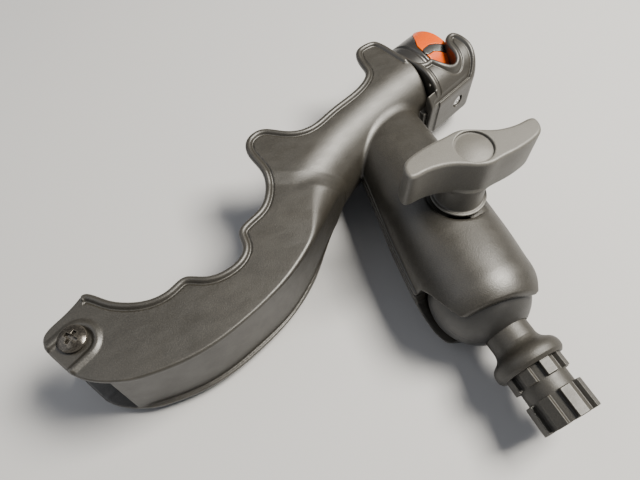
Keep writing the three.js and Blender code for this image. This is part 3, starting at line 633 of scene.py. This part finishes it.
def arm_skin(x, y, z, grow=0.0):
    """The arm's outside: rounded oblong sections that run down into a sphere round the ball."""
    wide, high = arm_wide(y) + grow, arm_high(y) + grow
    power = arm_power(y)
    u = np.abs(x - arm_shift(y)) / wide
    v = np.abs(z) / high
    flank = ((u**power + v**power + 1e-9) ** (1 / power) - 1) * np.minimum(wide, high)
    ball = sphere(x, y, z, SOCKET_R + grow)
    share = np.clip((y + 5) / 10, 0, 1)
    share = share * share * (3 - 2 * share)
    return flank * share + ball * (1 - share)


mouth_side = ramp([(0, 16), (8.5, 15), (13.5, 8), (17.6, -2), (20.2, -17), (20.6, -40)], 0.8)


def arm_mouth(x, y, z):
    """What both halves leave open: a way for the neck on either side, and all below a slant."""
    neck = (y - mouth_side(np.abs(z))) * 0.8
    below = (y + 16.3 + 0.17 * x) * 0.986
    return either(neck, below, 0.8)


def arm_half(x, y, z, side):
    """One half of the socket arm; side is 1 for the knob's half, -1 for the far jaw."""
    depth = z * side
    shape = both(arm_skin(x, y, z), PARTING - depth, 1.0)
    lip = both(arm_skin(x, y, z, LIP_OUT), between(depth, PARTING, LIP_TOP), 0.8)
    shape = either(shape, lip, 0.7)
    hollow = both(arm_skin(x, y, z, -ARM_WALL), between(y, *HOLLOW_Y), 2)
    hollow = both(hollow, -1 - depth)
    shape = less(shape, hollow, 0.6)
    pillar = both(disc(x, y, KNOB_X, KNOB_Y, PILLAR_R), between(depth, *PILLAR_Z), 0.5)
    shape = either(shape, pillar, 1.5)
    shape = less(shape, sphere(x, y, z, BALL_R + 0.5), 0.6)
    shape = less(shape, arm_mouth(x, y, z), 1.5)
    return less(shape, disc(x, y, KNOB_X, KNOB_Y, BOLT_R + 0.3), 0.4)


def knob_seat(x, y, z):
    """The flat round pocket under the knob's washer."""
    return both(disc(x, y, KNOB_X, KNOB_Y, SEAT_R), SEAT_Z - z)


# ---- barrel's front end


def collar_axis(x, y, z):
    """s, distance from the collar's axis, and the angle round it from straight up toward +Z."""
    s, n = barrel_frame(x, y)
    n = n - COLLAR_RISE
    return s, np.hypot(n, z), np.degrees(np.arctan2(z, n))


def gap_distance(radius, angle, middle):
    """Signed distance to the wedge left open for the rod, middle being its direction."""
    turned = np.abs((angle - middle + 180) % 360 - 180)
    off = np.radians(turned - COLLAR_GAP / 2)
    return radius * np.sin(np.clip(off, -math.pi / 2, math.pi / 2))


def front_spigot(x, y, z):
    """The open ring that the collar turns on, the web behind it and the yoke's tongue."""
    s, n = barrel_frame(x, y)
    _, radius, angle = collar_axis(x, y, z)
    tube_s = between(s, SPIGOT_START, COLLAR_END + 2)
    open_ring = both(between(radius, SPIGOT_IN, SPIGOT_OUT), tube_s, 0.5)
    open_ring = less(open_ring, gap_distance(radius, angle, 0), 0.5)
    web = both(both(np.hypot(n, z) - (BARREL_R - 0.6), between(s, *WEB_S), 0.4), n - 10, 0.4)
    web = less(web, radius - SPIGOT_IN, 0.3)
    tongue = both(between(n, TONGUE_LOW, TONGUE_TOP), np.abs(z) - TONGUE_HALF, 0.5)
    tongue = both(tongue, between(s, *TONGUE_S), 0.5)
    shape = either(either(open_ring, web, 0.6), tongue, 1.0)
    return less(shape, both(np.abs(z) - SPIGOT_IN * 0.76, SPIGOT_IN * 0.4 - n), 0.4)


def cradle(x, y, z):
    """The cradle as moulded in one: trough, barrel, front spigot and the arm's near half."""
    shape = nearby(trough, (-240, 20, -32), (110, 200, 32), x, y, z)

    def knob_half(x, y, z):
        foot, n = belly_at(x, y)
        channel = u_section(n, z, BARREL_R - WALL, inner_corner(foot), floor_height(foot))
        return less(less(arm_half(x, y, z, 1), knob_seat(x, y, z), 2.6), channel, 0.5)

    arm = nearby(knob_half, (-48, -44, -4), (60, 136, 40), x, y, z)
    shape = either(shape, arm, 2.8)
    front = nearby(front_spigot, (30, 118, -32), (110, 200, 32), x, y, z)
    return either(shape, front, 0.8)


def jaw(x, y, z):
    """The far jaw: the arm's other half, cut clear of the barrel, with a pocket for the bolt."""
    foot, n = belly_at(x, y)
    shape = arm_half(x, y, z, -1)
    rounded = u_section(n, z, BARREL_R + JAW_ROOM, BARREL_R, -JAW_ROOM)
    square = u_section(n, z, TROUGH_HALF + JAW_ROOM, flat_corner(foot) + JAW_ROOM, -JAW_ROOM)
    shape = less(shape, square + (rounded - square) * into_barrel(x, y, n), 0.8)
    s, up = barrel_frame(x, y)
    shape = less(shape, both(JAW_END_S - s, between(up, -40, 60)), 0.8)
    return less(shape, both(hexagon(x, y, BOLT_POCKET_R), z - BOLT_POCKET_TOP), 0.4)


def hexagon(x, y, corner_r, cx=KNOB_X, cy=KNOB_Y):
    """Distance to a hexagon with a corner on X."""
    u, v = np.abs(x - cx), np.abs(y - cy)
    flat = corner_r * math.cos(math.pi / 6)
    return np.maximum(v, v * 0.5 + u * math.cos(math.pi / 6)) - flat


# ---- wing knob

WING_HALF = [
    (0, 12.8), (-9, 12.2), (-19, 11), (-31, 8.2), (-37, 5.2), (-39.6, 0.5), (-38.8, -4.4),
    (-31, -4.4), (-23, -4.4), (-14, -6.6),
]
WING_TURN = math.radians(-4)


def wing_line():
    """The wing's S-shaped outline, one half being the other turned half round."""
    half = np.array(WING_HALF)
    line = spline(np.vstack([half, -half]), 150, closed=True)
    c, s = math.cos(WING_TURN), math.sin(WING_TURN)
    return line @ np.array([[c, s], [-s, c]]) + (KNOB_X, KNOB_Y)


wing_at = outline_chart(wing_line(), (-34, 20), (60, 80), 0.4)


def wing_knob(x, y, z):
    """The wing on its round boss, with a dished top and a bore for the threaded insert."""
    radius = np.hypot(x - KNOB_X, y - KNOB_Y)
    wing = both(wing_at(x, y), between(z, WING_LOW, WING_TOP), WING_EDGE)
    boss_r = KNOB_BOSS_R - KNOB_BOSS_DRAFT * (z - KNOB_LOW)
    boss = both(radius - boss_r, between(z, KNOB_LOW, WING_LOW + 3), 0.9)
    foot = both(radius - KNOB_FOOT_R, between(z, KNOB_LOW, KNOB_FOOT_TOP), 0.6)
    shape = either(either(wing, boss, 1.4), foot, 0.8)
    dish_z = WING_TOP - DISH_DEPTH
    shape = less(shape, both(radius - DISH_R, dish_z - z), 0.7)
    dome_top = dish_z + DOME_RISE * np.maximum(1 - (radius / (DOME_R - 0.1)) ** 2, -0.2)
    dome = both(radius - DOME_R, between(z, WING_TOP - 4, dome_top), 0.5)
    shape = either(shape, dome, 0.2)
    return less(shape, both(radius - INSERT_ROOM_R, z - INSERT_ROOM_TOP), 0.4)


# ---- ball and post


def ball_cover(x, y, z):
    """The ball's skin with its moulding seam, bored for the post's neck and stub."""
    radius = np.hypot(x, z)
    ball = sphere(x, y, z, BALL_R)
    seam = np.hypot(ball, z) - 0.22
    neck = both(radius - (NECK_R + COVER_GAP), y - (NECK_TOP + COVER_GAP))
    shank = both(radius - (SHANK_R + COVER_GAP), y - (SHANK_TOP + COVER_GAP))
    return less(less(less(ball, seam, 0.15), neck, 0.5), shank, 0.4)


POST_LINE = [
    (-3, SHANK_TOP), (SHANK_R, SHANK_TOP), (SHANK_R, NECK_TOP), (NECK_R, NECK_TOP), (NECK_R, -31.5),
    *spline([(NECK_R, -33), (13.6, -35.8), (15.6, -37.8), (17.9, -39.4), (19.2, -41.2),
             (FLARE_R, -43.6), (19.5, -46.2)], 24),
    (18.2, -48), (GROOVE_R, -48), (GROOVE_R, -POST_LENGTH), (-3, -POST_LENGTH),
]
post_at = outline_chart(POST_LINE, (-1, -84), (24, 16), 0.2)


def post(x, y, z):
    """The stem with its flare, and two runs of square teeth."""
    radius = np.hypot(x, z)
    stem = both(post_at(radius, y), -y - POST_LENGTH, 0.5)
    pitch = 2 * math.pi / SPLINE_TEETH
    angle = (np.arctan2(z, x) + pitch / 2) % pitch - pitch / 2
    across, out = radius * np.sin(angle), radius * np.cos(angle)
    flank = both(np.abs(across) - TOOTH_HALF, out - SPLINE_R, 0.35)
    flank = both(flank, 9 - out)
    for low, high in SPLINE_RUNS:
        stem = either(stem, both(flank, between(y, low, high), 0.4), 0.25)
    return stem


# ---- yoke, collar and grip

# Side view of the yoke in s and n: scalloped rim, front horn, bottom and rear face.
YOKE_RIM = spline([
    (95.2, 6), (95.6, -2), (97, -8.4), (101, -11.2), (105.4, -11.4), (107.4, -15), (110, -20.5),
    (114.5, -24.2), (119.5, -23.6), (122.8, -18.6), (125, -12.2), (128.4, -7.4), (133, -5.2),
    (137, -5.8), (139.3, -9.5), (139.6, -15), (139, -21), (135, -30.5), (129, YOKE_BOTTOM - 1),
], 90)
YOKE_LINE = np.vstack([YOKE_RIM, [
    (125, YOKE_BOTTOM - 3), (83, YOKE_BOTTOM - 3), (83, -29), (91, -29), (94.2, -8), (94.4, 6),
]])
YOKE_LOWER = spline([
    (-10, YOKE_HALF), (-17, 27.9), (-23, 26.2), (-28, 22.8), (-32, 18), (YOKE_BOTTOM + 0.2, 13),
    (YOKE_BOTTOM, 9),
], 30)
YOKE_SECTION = np.vstack([
    [(60, YOKE_HALF)], YOKE_LOWER, YOKE_LOWER[::-1] * (1, -1), [(60, -YOKE_HALF)],
])
yoke_side_at = outline_chart(YOKE_LINE, (78, -44), (146, 14), 0.4)
yoke_section_at = outline_chart(YOKE_SECTION, (-44, -34), (14, 34), 0.4)


def yoke(x, y, z):
    """The scalloped block with its horn and its bed for collar and grip."""
    s, n = barrel_frame(x, y)
    _, radius, _ = collar_axis(x, y, z)
    side = yoke_side_at(s, n)
    section = yoke_section_at(n, z)
    shape = both(section, side, 1.2)
    bead = np.hypot(section + 0.9, side + 1.8) - 2.0
    bead = both(bead, 90 - s, 1)
    crease = np.hypot(section - 0.2, side + 4.6) - 0.9
    shape = less(either(shape, bead, 0.4), crease, 0.3)
    collar_room = both(radius - (COLLAR_OUT + RUN_GAP), s - COLLAR_SPLIT)
    grip_room = both(radius - (GRIP_OUT + RUN_GAP), s - (COLLAR_END + 2.3))
    shape = less(less(shape, collar_room), grip_room, 0.5)
    shape = less(shape, radius - SPIGOT_IN, 0.8)
    tongue = both(between(n, TONGUE_LOW - RUN_GAP, TONGUE_TOP + RUN_GAP),
                  np.abs(z) - (TONGUE_HALF + RUN_GAP))
    shape = less(shape, both(tongue, s - (TONGUE_S[1] + RUN_GAP)), 0.2)
    across = np.hypot(s - YOKE_SCREW_S, z)
    shape = less(shape, across - YOKE_HOLE_R, 0.2)
    head_room = both(across - HEAD_ROOM_R, n - (YOKE_BOTTOM + HEAD_ROOM_TOP))
    shape = less(shape, head_room, 0.3)
    off_screw = np.maximum(np.abs(s - YOKE_SCREW_S), np.abs(z))
    slot = both(off_screw - NUT_SLOT_HALF, between(n, *NUT_SLOT_N))
    return less(shape, slot, 0.2)


split_at = ramp([(40, COLLAR_END + 2), (46, 127), (84, 113), (95, COLLAR_SPLIT)], 1.5)


def ring(x, y, z, outer):
    """The C-shaped ring of collar and grip together, its gap turned to the far side."""
    s, radius, angle = collar_axis(x, y, z)
    along = between(s, COLLAR_START, COLLAR_END)
    shape = both(between(radius, SPIGOT_OUT + RUN_GAP, outer), along, 0.9)
    return less(shape, gap_distance(radius, angle, GAP_MIDDLE), 0.6)


def past_gap(angle):
    """The angle round the collar counted from the gap's middle, so that it doesn't jump."""
    return np.where(angle < GAP_MIDDLE, angle + 360, angle)


def split_distance(s, angle):
    """How far a point lies ahead of the slanted split between collar and grip."""
    return (s - split_at(past_gap(angle))) * 0.8


def lock_collar(x, y, z):
    """The black part of the ring, with the detent ball's track round it."""
    s, radius, angle = collar_axis(x, y, z)
    shape = both(ring(x, y, z, COLLAR_OUT), split_distance(s, angle) + RUN_GAP, 0.3)
    track = np.hypot(radius - (COLLAR_OUT + TRACK_OUT), s - DETENT_S) - TRACK_R
    return less(shape, track, 0.3)


# The band's middle line: degrees round the collar, and s.
BAND = np.array([(102, 114.5), (102, 119), (107, 122.5), (113, 125.5), (120, 128.5)])
BAND_LINE = BAND * (math.radians(1) * GRIP_OUT, 1)


def band_distance(x, y, z, half):
    """Distance to the band's outline, unrolled round the grip, and to the collar's axis."""
    s, radius, angle = collar_axis(x, y, z)
    u = np.radians(past_gap(angle)) * GRIP_OUT
    squares = [to_segment(u, s, *a, *b)[1] for a, b in zip(BAND_LINE, BAND_LINE[1:])]
    return np.sqrt(np.minimum.reduce(squares)) - half, radius


def grip(x, y, z):
    """The orange part of the ring, with a groove for its band."""
    s, _, angle = collar_axis(x, y, z)
    shape = both(ring(x, y, z, GRIP_OUT), -split_distance(s, angle), 0.5)
    outline, radius = band_distance(x, y, z, BAND_GROOVE_HALF)
    return less(shape, both(outline, BAND_FLOOR - radius), 0.25)


def band(x, y, z):
    """The black band let into the grip."""
    outline, radius = band_distance(x, y, z, BAND_HALF)
    return both(outline, between(radius, BAND_FLOOR + 0.1, GRIP_OUT), 0.5)


# ---- fittings


def pan_screw(radius, depth, across, cross, head_r, head_h, shank_r, length):
    """A domed screw: depth is height over the head's underside, across and cross lie square to it."""
    crown = (head_r**2 + head_h**2) / (2 * head_h) * 1.35
    ball = np.hypot(radius, depth - (head_h - crown)) - crown
    head = both(both(ball, radius - head_r, 0.5), -depth, 0.25)
    shank = both(radius - shank_r, between(depth, -length, 0.3), 0.2)
    taper = np.maximum(depth - head_h * 0.3, 0) * 0.12
    slot_w, slot_l = head_r * 0.11 + taper, head_r * 0.46 + taper
    arm_a = np.maximum(np.abs(across) - slot_l, np.abs(cross) - slot_w)
    arm_b = np.maximum(np.abs(cross) - slot_l, np.abs(across) - slot_w)
    recess = both(np.minimum(arm_a, arm_b), head_h * 0.25 - depth)
    return less(either(head, shank, 0.1), recess, 0.15)


def tail_screw(x, y, z):
    """The screw through the tail, its cross turned off X."""
    u, v = x - TAIL_PIN[0], y - TAIL_PIN[1]
    across, cross = u * 0.8 + v * 0.6, v * 0.8 - u * 0.6
    return pan_screw(np.hypot(u, v), z - TAIL_SEAT_Z, across, cross, *TAIL_SCREW)


def yoke_screw(x, y, z):
    """The screw up into the yoke's underside."""
    s, n = barrel_frame(x, y)
    u = s - YOKE_SCREW_S
    return pan_screw(np.hypot(u, z), YOKE_SEAT_N - n, u, z, *YOKE_SCREW)


def tube(cx, cy, inner, outer, low, high, edge=0.3):
    """A plain tube or washer along Z."""

    def field(x, y, z):
        radius = np.hypot(x - cx, y - cy)
        return both(between(radius, inner, outer), between(z, low, high), edge)

    return field


def hex_nut(cx, cy, corner_r, bore, low, high):
    """A hexagon nut with its corners chamfered."""

    def field(x, y, z):
        radius = np.hypot(x - cx, y - cy)
        flats = both(hexagon(x, y, corner_r, cx, cy), between(z, low, high), 0.2)
        crown = (radius - corner_r * 0.93 + np.abs(z - (low + high) / 2) - (high - low) / 2) * 0.7
        return less(both(flats, crown, 0.1), radius - bore, 0.2)

    return field


def clamp_bolt(x, y, z):
    """The hexagon bolt from the far jaw to the knob."""
    radius = np.hypot(x - KNOB_X, y - KNOB_Y)
    head_z, seat_z = BOLT_HEAD_Z
    head = both(hexagon(x, y, BOLT_HEAD_R), between(z, head_z, seat_z), 0.3)
    crown = (radius - (BOLT_HEAD_R - 0.4) - (z - head_z)) * 0.7
    shank = both(radius - BOLT_R, between(z, seat_z - 0.7, BOLT_TOP), 0.4)
    return either(both(head, crown, 0.1), shank, 0.4)


def yoke_nut(x, y, z):
    """The nut caught in the yoke."""
    s, n = barrel_frame(x, y)
    nut = both(hexagon(s, z, YOKE_NUT_R, YOKE_SCREW_S, 0), between(n, *YOKE_NUT_N), 0.2)
    return less(nut, np.hypot(s - YOKE_SCREW_S, z) - YOKE_NUT_BORE, 0.2)


def detent_ball(x, y, z):
    """The ball that clicks into the collar's track."""
    s, radius, angle = collar_axis(x, y, z)
    turn = np.radians(angle - DETENT_ANGLE)
    out, side = radius * np.cos(turn), radius * np.sin(turn)
    return np.sqrt((out - DETENT_BALL_OUT) ** 2 + side**2 + (s - DETENT_S) ** 2) - DETENT_BALL_R


def wire_coil(name, points, wire_r):
    """A spring wound as a round wire along points, in millimetres about the ball's centre."""
    curve = bpy.data.curves.new(name, "CURVE")
    curve.dimensions = "3D"
    curve.bevel_depth = wire_r * MM
    curve.bevel_resolution = 4
    curve.use_fill_caps = True
    line = curve.splines.new("POLY")
    line.points.add(len(points) - 1)
    for knot, p in zip(line.points, points):
        knot.co = (p[0] * MM, (p[1] + POST_LENGTH) * MM, p[2] * MM, 1)
    made = place(name, curve)
    mesh = evaluated_mesh(made)
    bpy.data.objects.remove(made)
    mesh.shade_smooth()
    return place(name, mesh)


def helix(radius, low, high, turns, steps=28):
    """Points of a coil about its own Z axis, its end turns lying flat."""
    out = []
    count = int(turns * steps)
    for i in range(count + 1):
        t = i / count
        angle = t * turns * 2 * math.pi
        rise = min(max((t * turns - 0.7) / (turns - 1.4), 0), 1)
        out.append((radius * math.cos(angle), radius * math.sin(angle), low + (high - low) * rise))
    return out


def jaw_spring():
    """The spring round the bolt that parts the arm's halves."""
    coil = helix(SPRING_R, -SPRING_HALF, SPRING_HALF, turns=6)
    points = [(KNOB_X + x, KNOB_Y + y, z) for x, y, z in coil]
    return wire_coil("jaw_return_spring", points, SPRING_WIRE_R)


def detent_spring():
    """The spring behind the detent ball, square to the collar's axis."""
    turn = math.radians(DETENT_ANGLE)
    points = []
    for side, s, out in helix(DETENT_COIL_R, *DETENT_COIL_OUT, turns=5):
        n = COLLAR_RISE + out * math.cos(turn) - side * math.sin(turn)
        x, y = barrel_point(DETENT_S + s, n)
        points.append((x, y, out * math.sin(turn) + side * math.cos(turn)))
    return wire_coil("detent_coil", points, DETENT_WIRE_R)


# ---- materials


class Nodes:
    """Short calls for one material's node tree."""

    def __init__(self, name):
        self.material = bpy.data.materials.new(name)
        self.material.use_nodes = True
        self.tree = self.material.node_tree
        self.tree.nodes.clear()
        self.out = self.add("ShaderNodeOutputMaterial")
        self.place = self.add("ShaderNodeTexCoord").outputs["Object"]

    def put(self, value, socket):
        if isinstance(value, bpy.types.NodeSocket):
            self.tree.links.new(value, socket)
        else:
            socket.default_value = value

    def add(self, kind, **inputs):
        """A new node with its inputs filled; _ stands for a space in an input's name."""
        node = self.tree.nodes.new(kind)
        for name, value in inputs.items():
            self.put(value, node.inputs[name.replace("_", " ")])
        return node

    def noise(self, scale, detail=3.0, rough=0.5, stretch=(1, 1, 1), shift=(0, 0, 0)):
        turn = self.add("ShaderNodeMapping", Scale=stretch, Location=shift, Vector=self.place)
        node = self.add("ShaderNodeTexNoise", Scale=scale, Detail=detail, Roughness=rough,
                        Vector=turn.outputs["Vector"])
        return node.outputs["Fac"]

    def band(self, value, low, high, to_low=0.0, to_high=1.0):
        node = self.add("ShaderNodeMapRange", Value=value, From_Min=low, From_Max=high,
                        To_Min=to_low, To_Max=to_high)
        node.interpolation_type = "SMOOTHSTEP"
        return node.outputs["Result"]

    def math(self, kind, a, b):
        node = self.add("ShaderNodeMath")
        node.operation = kind
        self.put(a, node.inputs[0])
        self.put(b, node.inputs[1])
        return node.outputs[0]

    def blend(self, share, a, b):
        node = self.add("ShaderNodeMix")
        node.data_type = "RGBA"
        self.put(share, node.inputs[0])
        for value, socket in ((a, node.inputs[6]), (b, node.inputs[7])):
            self.put(value if isinstance(value, bpy.types.NodeSocket) else (*value, 1), socket)
        return node.outputs[2]

    def bump(self, height, strength, distance, before=None):
        node = self.add("ShaderNodeBump", Strength=strength, Distance=distance, Height=height)
        if before is not None:
            self.put(before, node.inputs["Normal"])
        return node.outputs["Normal"]

    def shade(self, **inputs):
        """The finished material, with one principled shader."""
        shader = self.add("ShaderNodeBsdfPrincipled", **inputs)
        self.put(shader.outputs[0], self.out.inputs["Surface"])
        return self.material


def surface(name, tone, other, worn, rough, spread, grain, depth, metal=0.0, edge=0.5,
            specular=0.5, stretch=(1, 1, 1), waves=0.0):
    """A moulded, rubber or metal surface: two tones mottled, grain, worn edges and uneven gloss."""
    n = Nodes(name)
    mottle = n.band(n.noise(26, 4, 0.6, shift=(0.3, 0.1, 0.7)), 0.36, 0.66)
    fine = n.noise(grain, 3, 0.6, stretch)
    smear = n.noise(70, 5, 0.65, (1, 2.2, 1), (0.9, 0.2, 0.4))
    base = n.blend(mottle, tone, other)
    speck = n.band(fine, 0.35, 0.72)
    base = n.blend(n.math("MULTIPLY", speck, 0.35), base, worn)
    bend = n.add("ShaderNodeAttribute")
    bend.attribute_name = "bend"
    sharp = n.band(bend.outputs["Fac"], 0.35, 1.1)
    edges = n.math("MULTIPLY", sharp, n.band(smear, 0.3, 0.62, 0.25, 1))
    base = n.blend(n.math("MULTIPLY", edges, edge), base, worn)
    gloss = n.band(smear, 0.25, 0.75, rough - spread, rough + spread)
    gloss = n.math("SUBTRACT", gloss, n.math("MULTIPLY", edges, 0.08))
    normal = n.bump(fine, 0.5, depth)
    if waves:
        normal = n.bump(n.noise(55, 2, 0.4), 0.35, waves, normal)
    return n.shade(Base_Color=base, Roughness=gloss, Metallic=metal,
                   Specular_IOR_Level=specular, Normal=normal)


BLACK = surface(
    "satin_black_moulding", (0.0125, 0.0109, 0.0078), (0.0185, 0.0162, 0.012), (0.06, 0.054, 0.044),
    rough=0.43, spread=0.05, grain=1500, depth=0.0002, edge=0.55, specular=0.85, waves=0.00025)
POST_BLACK = surface(
    "dull_black_moulding", (0.0125, 0.0109, 0.0078), (0.0185, 0.0162, 0.012), (0.055, 0.05, 0.04),
    rough=0.5, spread=0.05, grain=1500, depth=0.0002, specular=0.7, waves=0.00025)
COLLAR_BLACK = surface(
    "collar_black_moulding", (0.010, 0.0095, 0.0088), (0.016, 0.015, 0.014), (0.05, 0.047, 0.043),
    rough=0.3, spread=0.05, grain=2200, depth=0.00006, specular=0.8)
GREY = surface(
    "grey_matt_moulding", (0.066, 0.062, 0.053), (0.082, 0.077, 0.067), (0.16, 0.155, 0.14),
    rough=0.5, spread=0.06, grain=1900, depth=0.00016, edge=0.6, specular=0.8)
RUBBER = surface(
    "ball_rubber_skin", (0.012, 0.0118, 0.0112), (0.018, 0.0175, 0.0165), (0.045, 0.044, 0.042),
    rough=0.45, spread=0.06, grain=3000, depth=0.00012, edge=0.4, specular=0.8)
ORANGE = surface(
    "orange_gloss_grip", (0.58, 0.06, 0.0), (0.66, 0.08, 0.0), (0.85, 0.17, 0.0),
    rough=0.3, spread=0.05, grain=1800, depth=0.00003, edge=0.35, specular=0.25, waves=0.0003)
STEEL = surface(
    "bright_plated_steel", (0.55, 0.55, 0.56), (0.66, 0.66, 0.66), (0.85, 0.85, 0.84),
    rough=0.24, spread=0.07, grain=900, depth=0.00004, metal=1.0, stretch=(1, 6, 1))
DARK_STEEL = surface(
    "dark_plated_steel", (0.028, 0.024, 0.02), (0.05, 0.043, 0.036), (0.2, 0.18, 0.15),
    rough=0.2, spread=0.05, grain=900, depth=0.00003, metal=0.6, edge=0.45, specular=0.9)
BRASS = surface(
    "insert_brass_metal", (0.52, 0.36, 0.13), (0.6, 0.43, 0.17), (0.85, 0.68, 0.36),
    rough=0.3, spread=0.07, grain=1100, depth=0.00005, metal=1.0)

# ---- pieces


def field_box(node, margin=2.0):
    """A CAD node's box in millimetres about the ball's centre, a little larger."""
    low, high = (np.array(corner) / MM - (0, POST_LENGTH, 0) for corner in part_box(node))
    return (low - margin).tolist(), (high + margin).tolist()


tail_sleeve = tube(*TAIL_PIN, TAIL_HOLE_R, TAIL_SLEEVE_R, -TAIL_SLEEVE_HALF, TAIL_SLEEVE_HALF)
tail_nut = hex_nut(*TAIL_PIN, TAIL_NUT_R, TAIL_HOLE_R, TAIL_NUT_END, -TAIL_SEAT_Z)
knob_washer = tube(KNOB_X, KNOB_Y, THREAD_BORE_R, WASHER_R, *WASHER_Z, 0.35)
knob_insert = tube(KNOB_X, KNOB_Y, THREAD_BORE_R, INSERT_R, *INSERT_Z)

# name, CAD node it stands for, body, field, cell in millimetres, material, record's slot
PIECES = [
    ("cradle_shell", "cradle_body", "cradle", cradle, 0.72, BLACK, "black_moulding"),
    ("tail_spacer", "tail_sleeve", "cradle", tail_sleeve, 0.4, BLACK, "black_moulding"),
    ("tail_cross_screw", "tail_screw", "cradle", tail_screw, 0.22, DARK_STEEL, "dark_steel"),
    ("tail_hex_nut", "tail_nut", "cradle", tail_nut, 0.25, STEEL, "bright_steel"),
    ("clamp_jaw_half", "clamp_jaw", "jaw", jaw, 0.62, BLACK, "black_moulding"),
    ("clamp_hex_bolt", "clamp_bolt", "jaw", clamp_bolt, 0.35, STEEL, "bright_steel"),
    ("knob_flat_washer", "knob_washer", "knob", knob_washer, 0.22, STEEL, "bright_steel"),
    ("wing_knob_grip", "wing_knob", "knob", wing_knob, 0.4, GREY, "grey_knob"),
    ("knob_thread_insert", "knob_insert", "knob", knob_insert, 0.35, BRASS, "insert_brass"),
    ("ball_rubber_cover", "ball_cover", "ball", ball_cover, 0.45, RUBBER, "ball_rubber"),
    ("spline_stem", "spline_post", "post", post, 0.3, POST_BLACK, "black_moulding"),
    ("front_yoke_shell", "front_yoke", "cradle", yoke, 0.45, BLACK, "black_moulding"),
    ("yoke_cross_screw", "yoke_screw", "cradle", yoke_screw, 0.16, STEEL, "bright_steel"),
    ("yoke_hex_nut", "yoke_nut", "cradle", yoke_nut, 0.2, STEEL, "bright_steel"),
    ("lock_collar_ring", "lock_collar", "collar", lock_collar, 0.32, COLLAR_BLACK,
     "black_moulding"),
    ("collar_orange_grip", "collar_grip", "collar", grip, 0.3, ORANGE, "orange_gloss"),
    ("collar_black_band", "collar_band", "collar", band, 0.16, COLLAR_BLACK, "black_moulding"),
    ("detent_steel_ball", "detent_ball", "cradle", detent_ball, 0.2, STEEL, "bright_steel"),
]

for name, node, rides_on, field, cell, material, slot in PIECES:
    obj = body(name, field, *field_box(node), cell)
    obj.data.materials.append(material)
    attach(obj, rides_on)
    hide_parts(node)

for make, node, rides_on in ((jaw_spring, "jaw_spring", "jaw"),
                             (detent_spring, "detent_spring", "cradle")):
    obj = make()
    obj.data.materials.clear()
    obj.data.materials.append(STEEL)
    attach(obj, rides_on)
    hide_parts(node)

# ---- floor, light and camera


def floor_material():
    n = Nodes("pale_floor")
    base = n.blend(n.noise(3, 3, 0.5), (0.46, 0.46, 0.47), (0.49, 0.49, 0.49))
    return n.shade(Base_Color=base, Roughness=0.8)


def lay_floor():
    """A wide pale plane that the object lies on."""
    half = 3.0
    z = CAD_BOX[0].z
    mesh = bpy.data.meshes.new("studio_floor")
    mesh.from_pydata([(-half, -half, z), (half, -half, z), (half, half, z), (-half, half, z)],
                     [], [(0, 1, 2, 3)])
    mesh.materials.append(floor_material())
    floor = place("studio_floor", mesh)


VIEW_FORWARD = Vector((0.2331, 0.4562, -0.8588)).normalized()
VIEW_RIGHT = Vector((0.8905, -0.4551, 0.0)).normalized()
VIEW_UP = VIEW_RIGHT.cross(VIEW_FORWARD)
VIEW_ROLL = -0.0155
VIEW_FROM = Vector((-138.9, 4.7, 280.8)) * MM
LENS_MM = 30.32


def place_camera():
    right = VIEW_RIGHT + VIEW_ROLL * VIEW_UP
    up = VIEW_UP - VIEW_ROLL * VIEW_RIGHT
    data = bpy.data.cameras.new("studio_camera")
    data.lens = LENS_MM
    data.sensor_width = 36
    data.sensor_fit = "HORIZONTAL"
    data.clip_start, data.clip_end = 0.02, 20
    data.dof.use_dof = False
    camera = place("studio_camera", data)
    turn = Matrix((right.normalized(), up.normalized(), -VIEW_FORWARD)).transposed().to_4x4()
    camera.matrix_world = Matrix.Translation(VIEW_FROM) @ turn
    bpy.context.scene.camera = camera


def softbox(name, right, up, toward, size, watts, tint):
    """A square light, placed by how far it lies right of, above and in front of the object."""
    middle = Vector((-0.05, 0.16, 0.0))
    offset = VIEW_RIGHT * right + VIEW_UP * up - VIEW_FORWARD * toward
    data = bpy.data.lights.new(name, "AREA")
    data.shape = "SQUARE"
    data.size = size
    data.energy = watts
    data.color = tint
    lamp = place(name, data)
    lamp.location = middle + offset
    lamp.rotation_mode = "QUATERNION"
    lamp.rotation_quaternion = (-offset).to_track_quat("-Z", "Y")


def light_room():
    softbox("key_light", right=0.62, up=0.68, toward=0.85, size=0.5, watts=44, tint=(1, 0.95, 0.85))
    softbox("fill_light", right=-0.9, up=0.35, toward=0.8, size=1.1, watts=4, tint=(0.96, 0.97, 1))
    softbox("low_light", right=0.3, up=-0.9, toward=0.6, size=0.8, watts=0.3, tint=(1, 0.95, 0.88))
    world = bpy.data.worlds.new("studio_world")
    world.use_nodes = True
    sky = world.node_tree.nodes["Background"]
    sky.inputs["Color"].default_value = (0.88, 0.92, 1.0, 1)
    sky.inputs["Strength"].default_value = 0.2
    bpy.context.scene.world = world


lay_floor()
place_camera()
light_room()
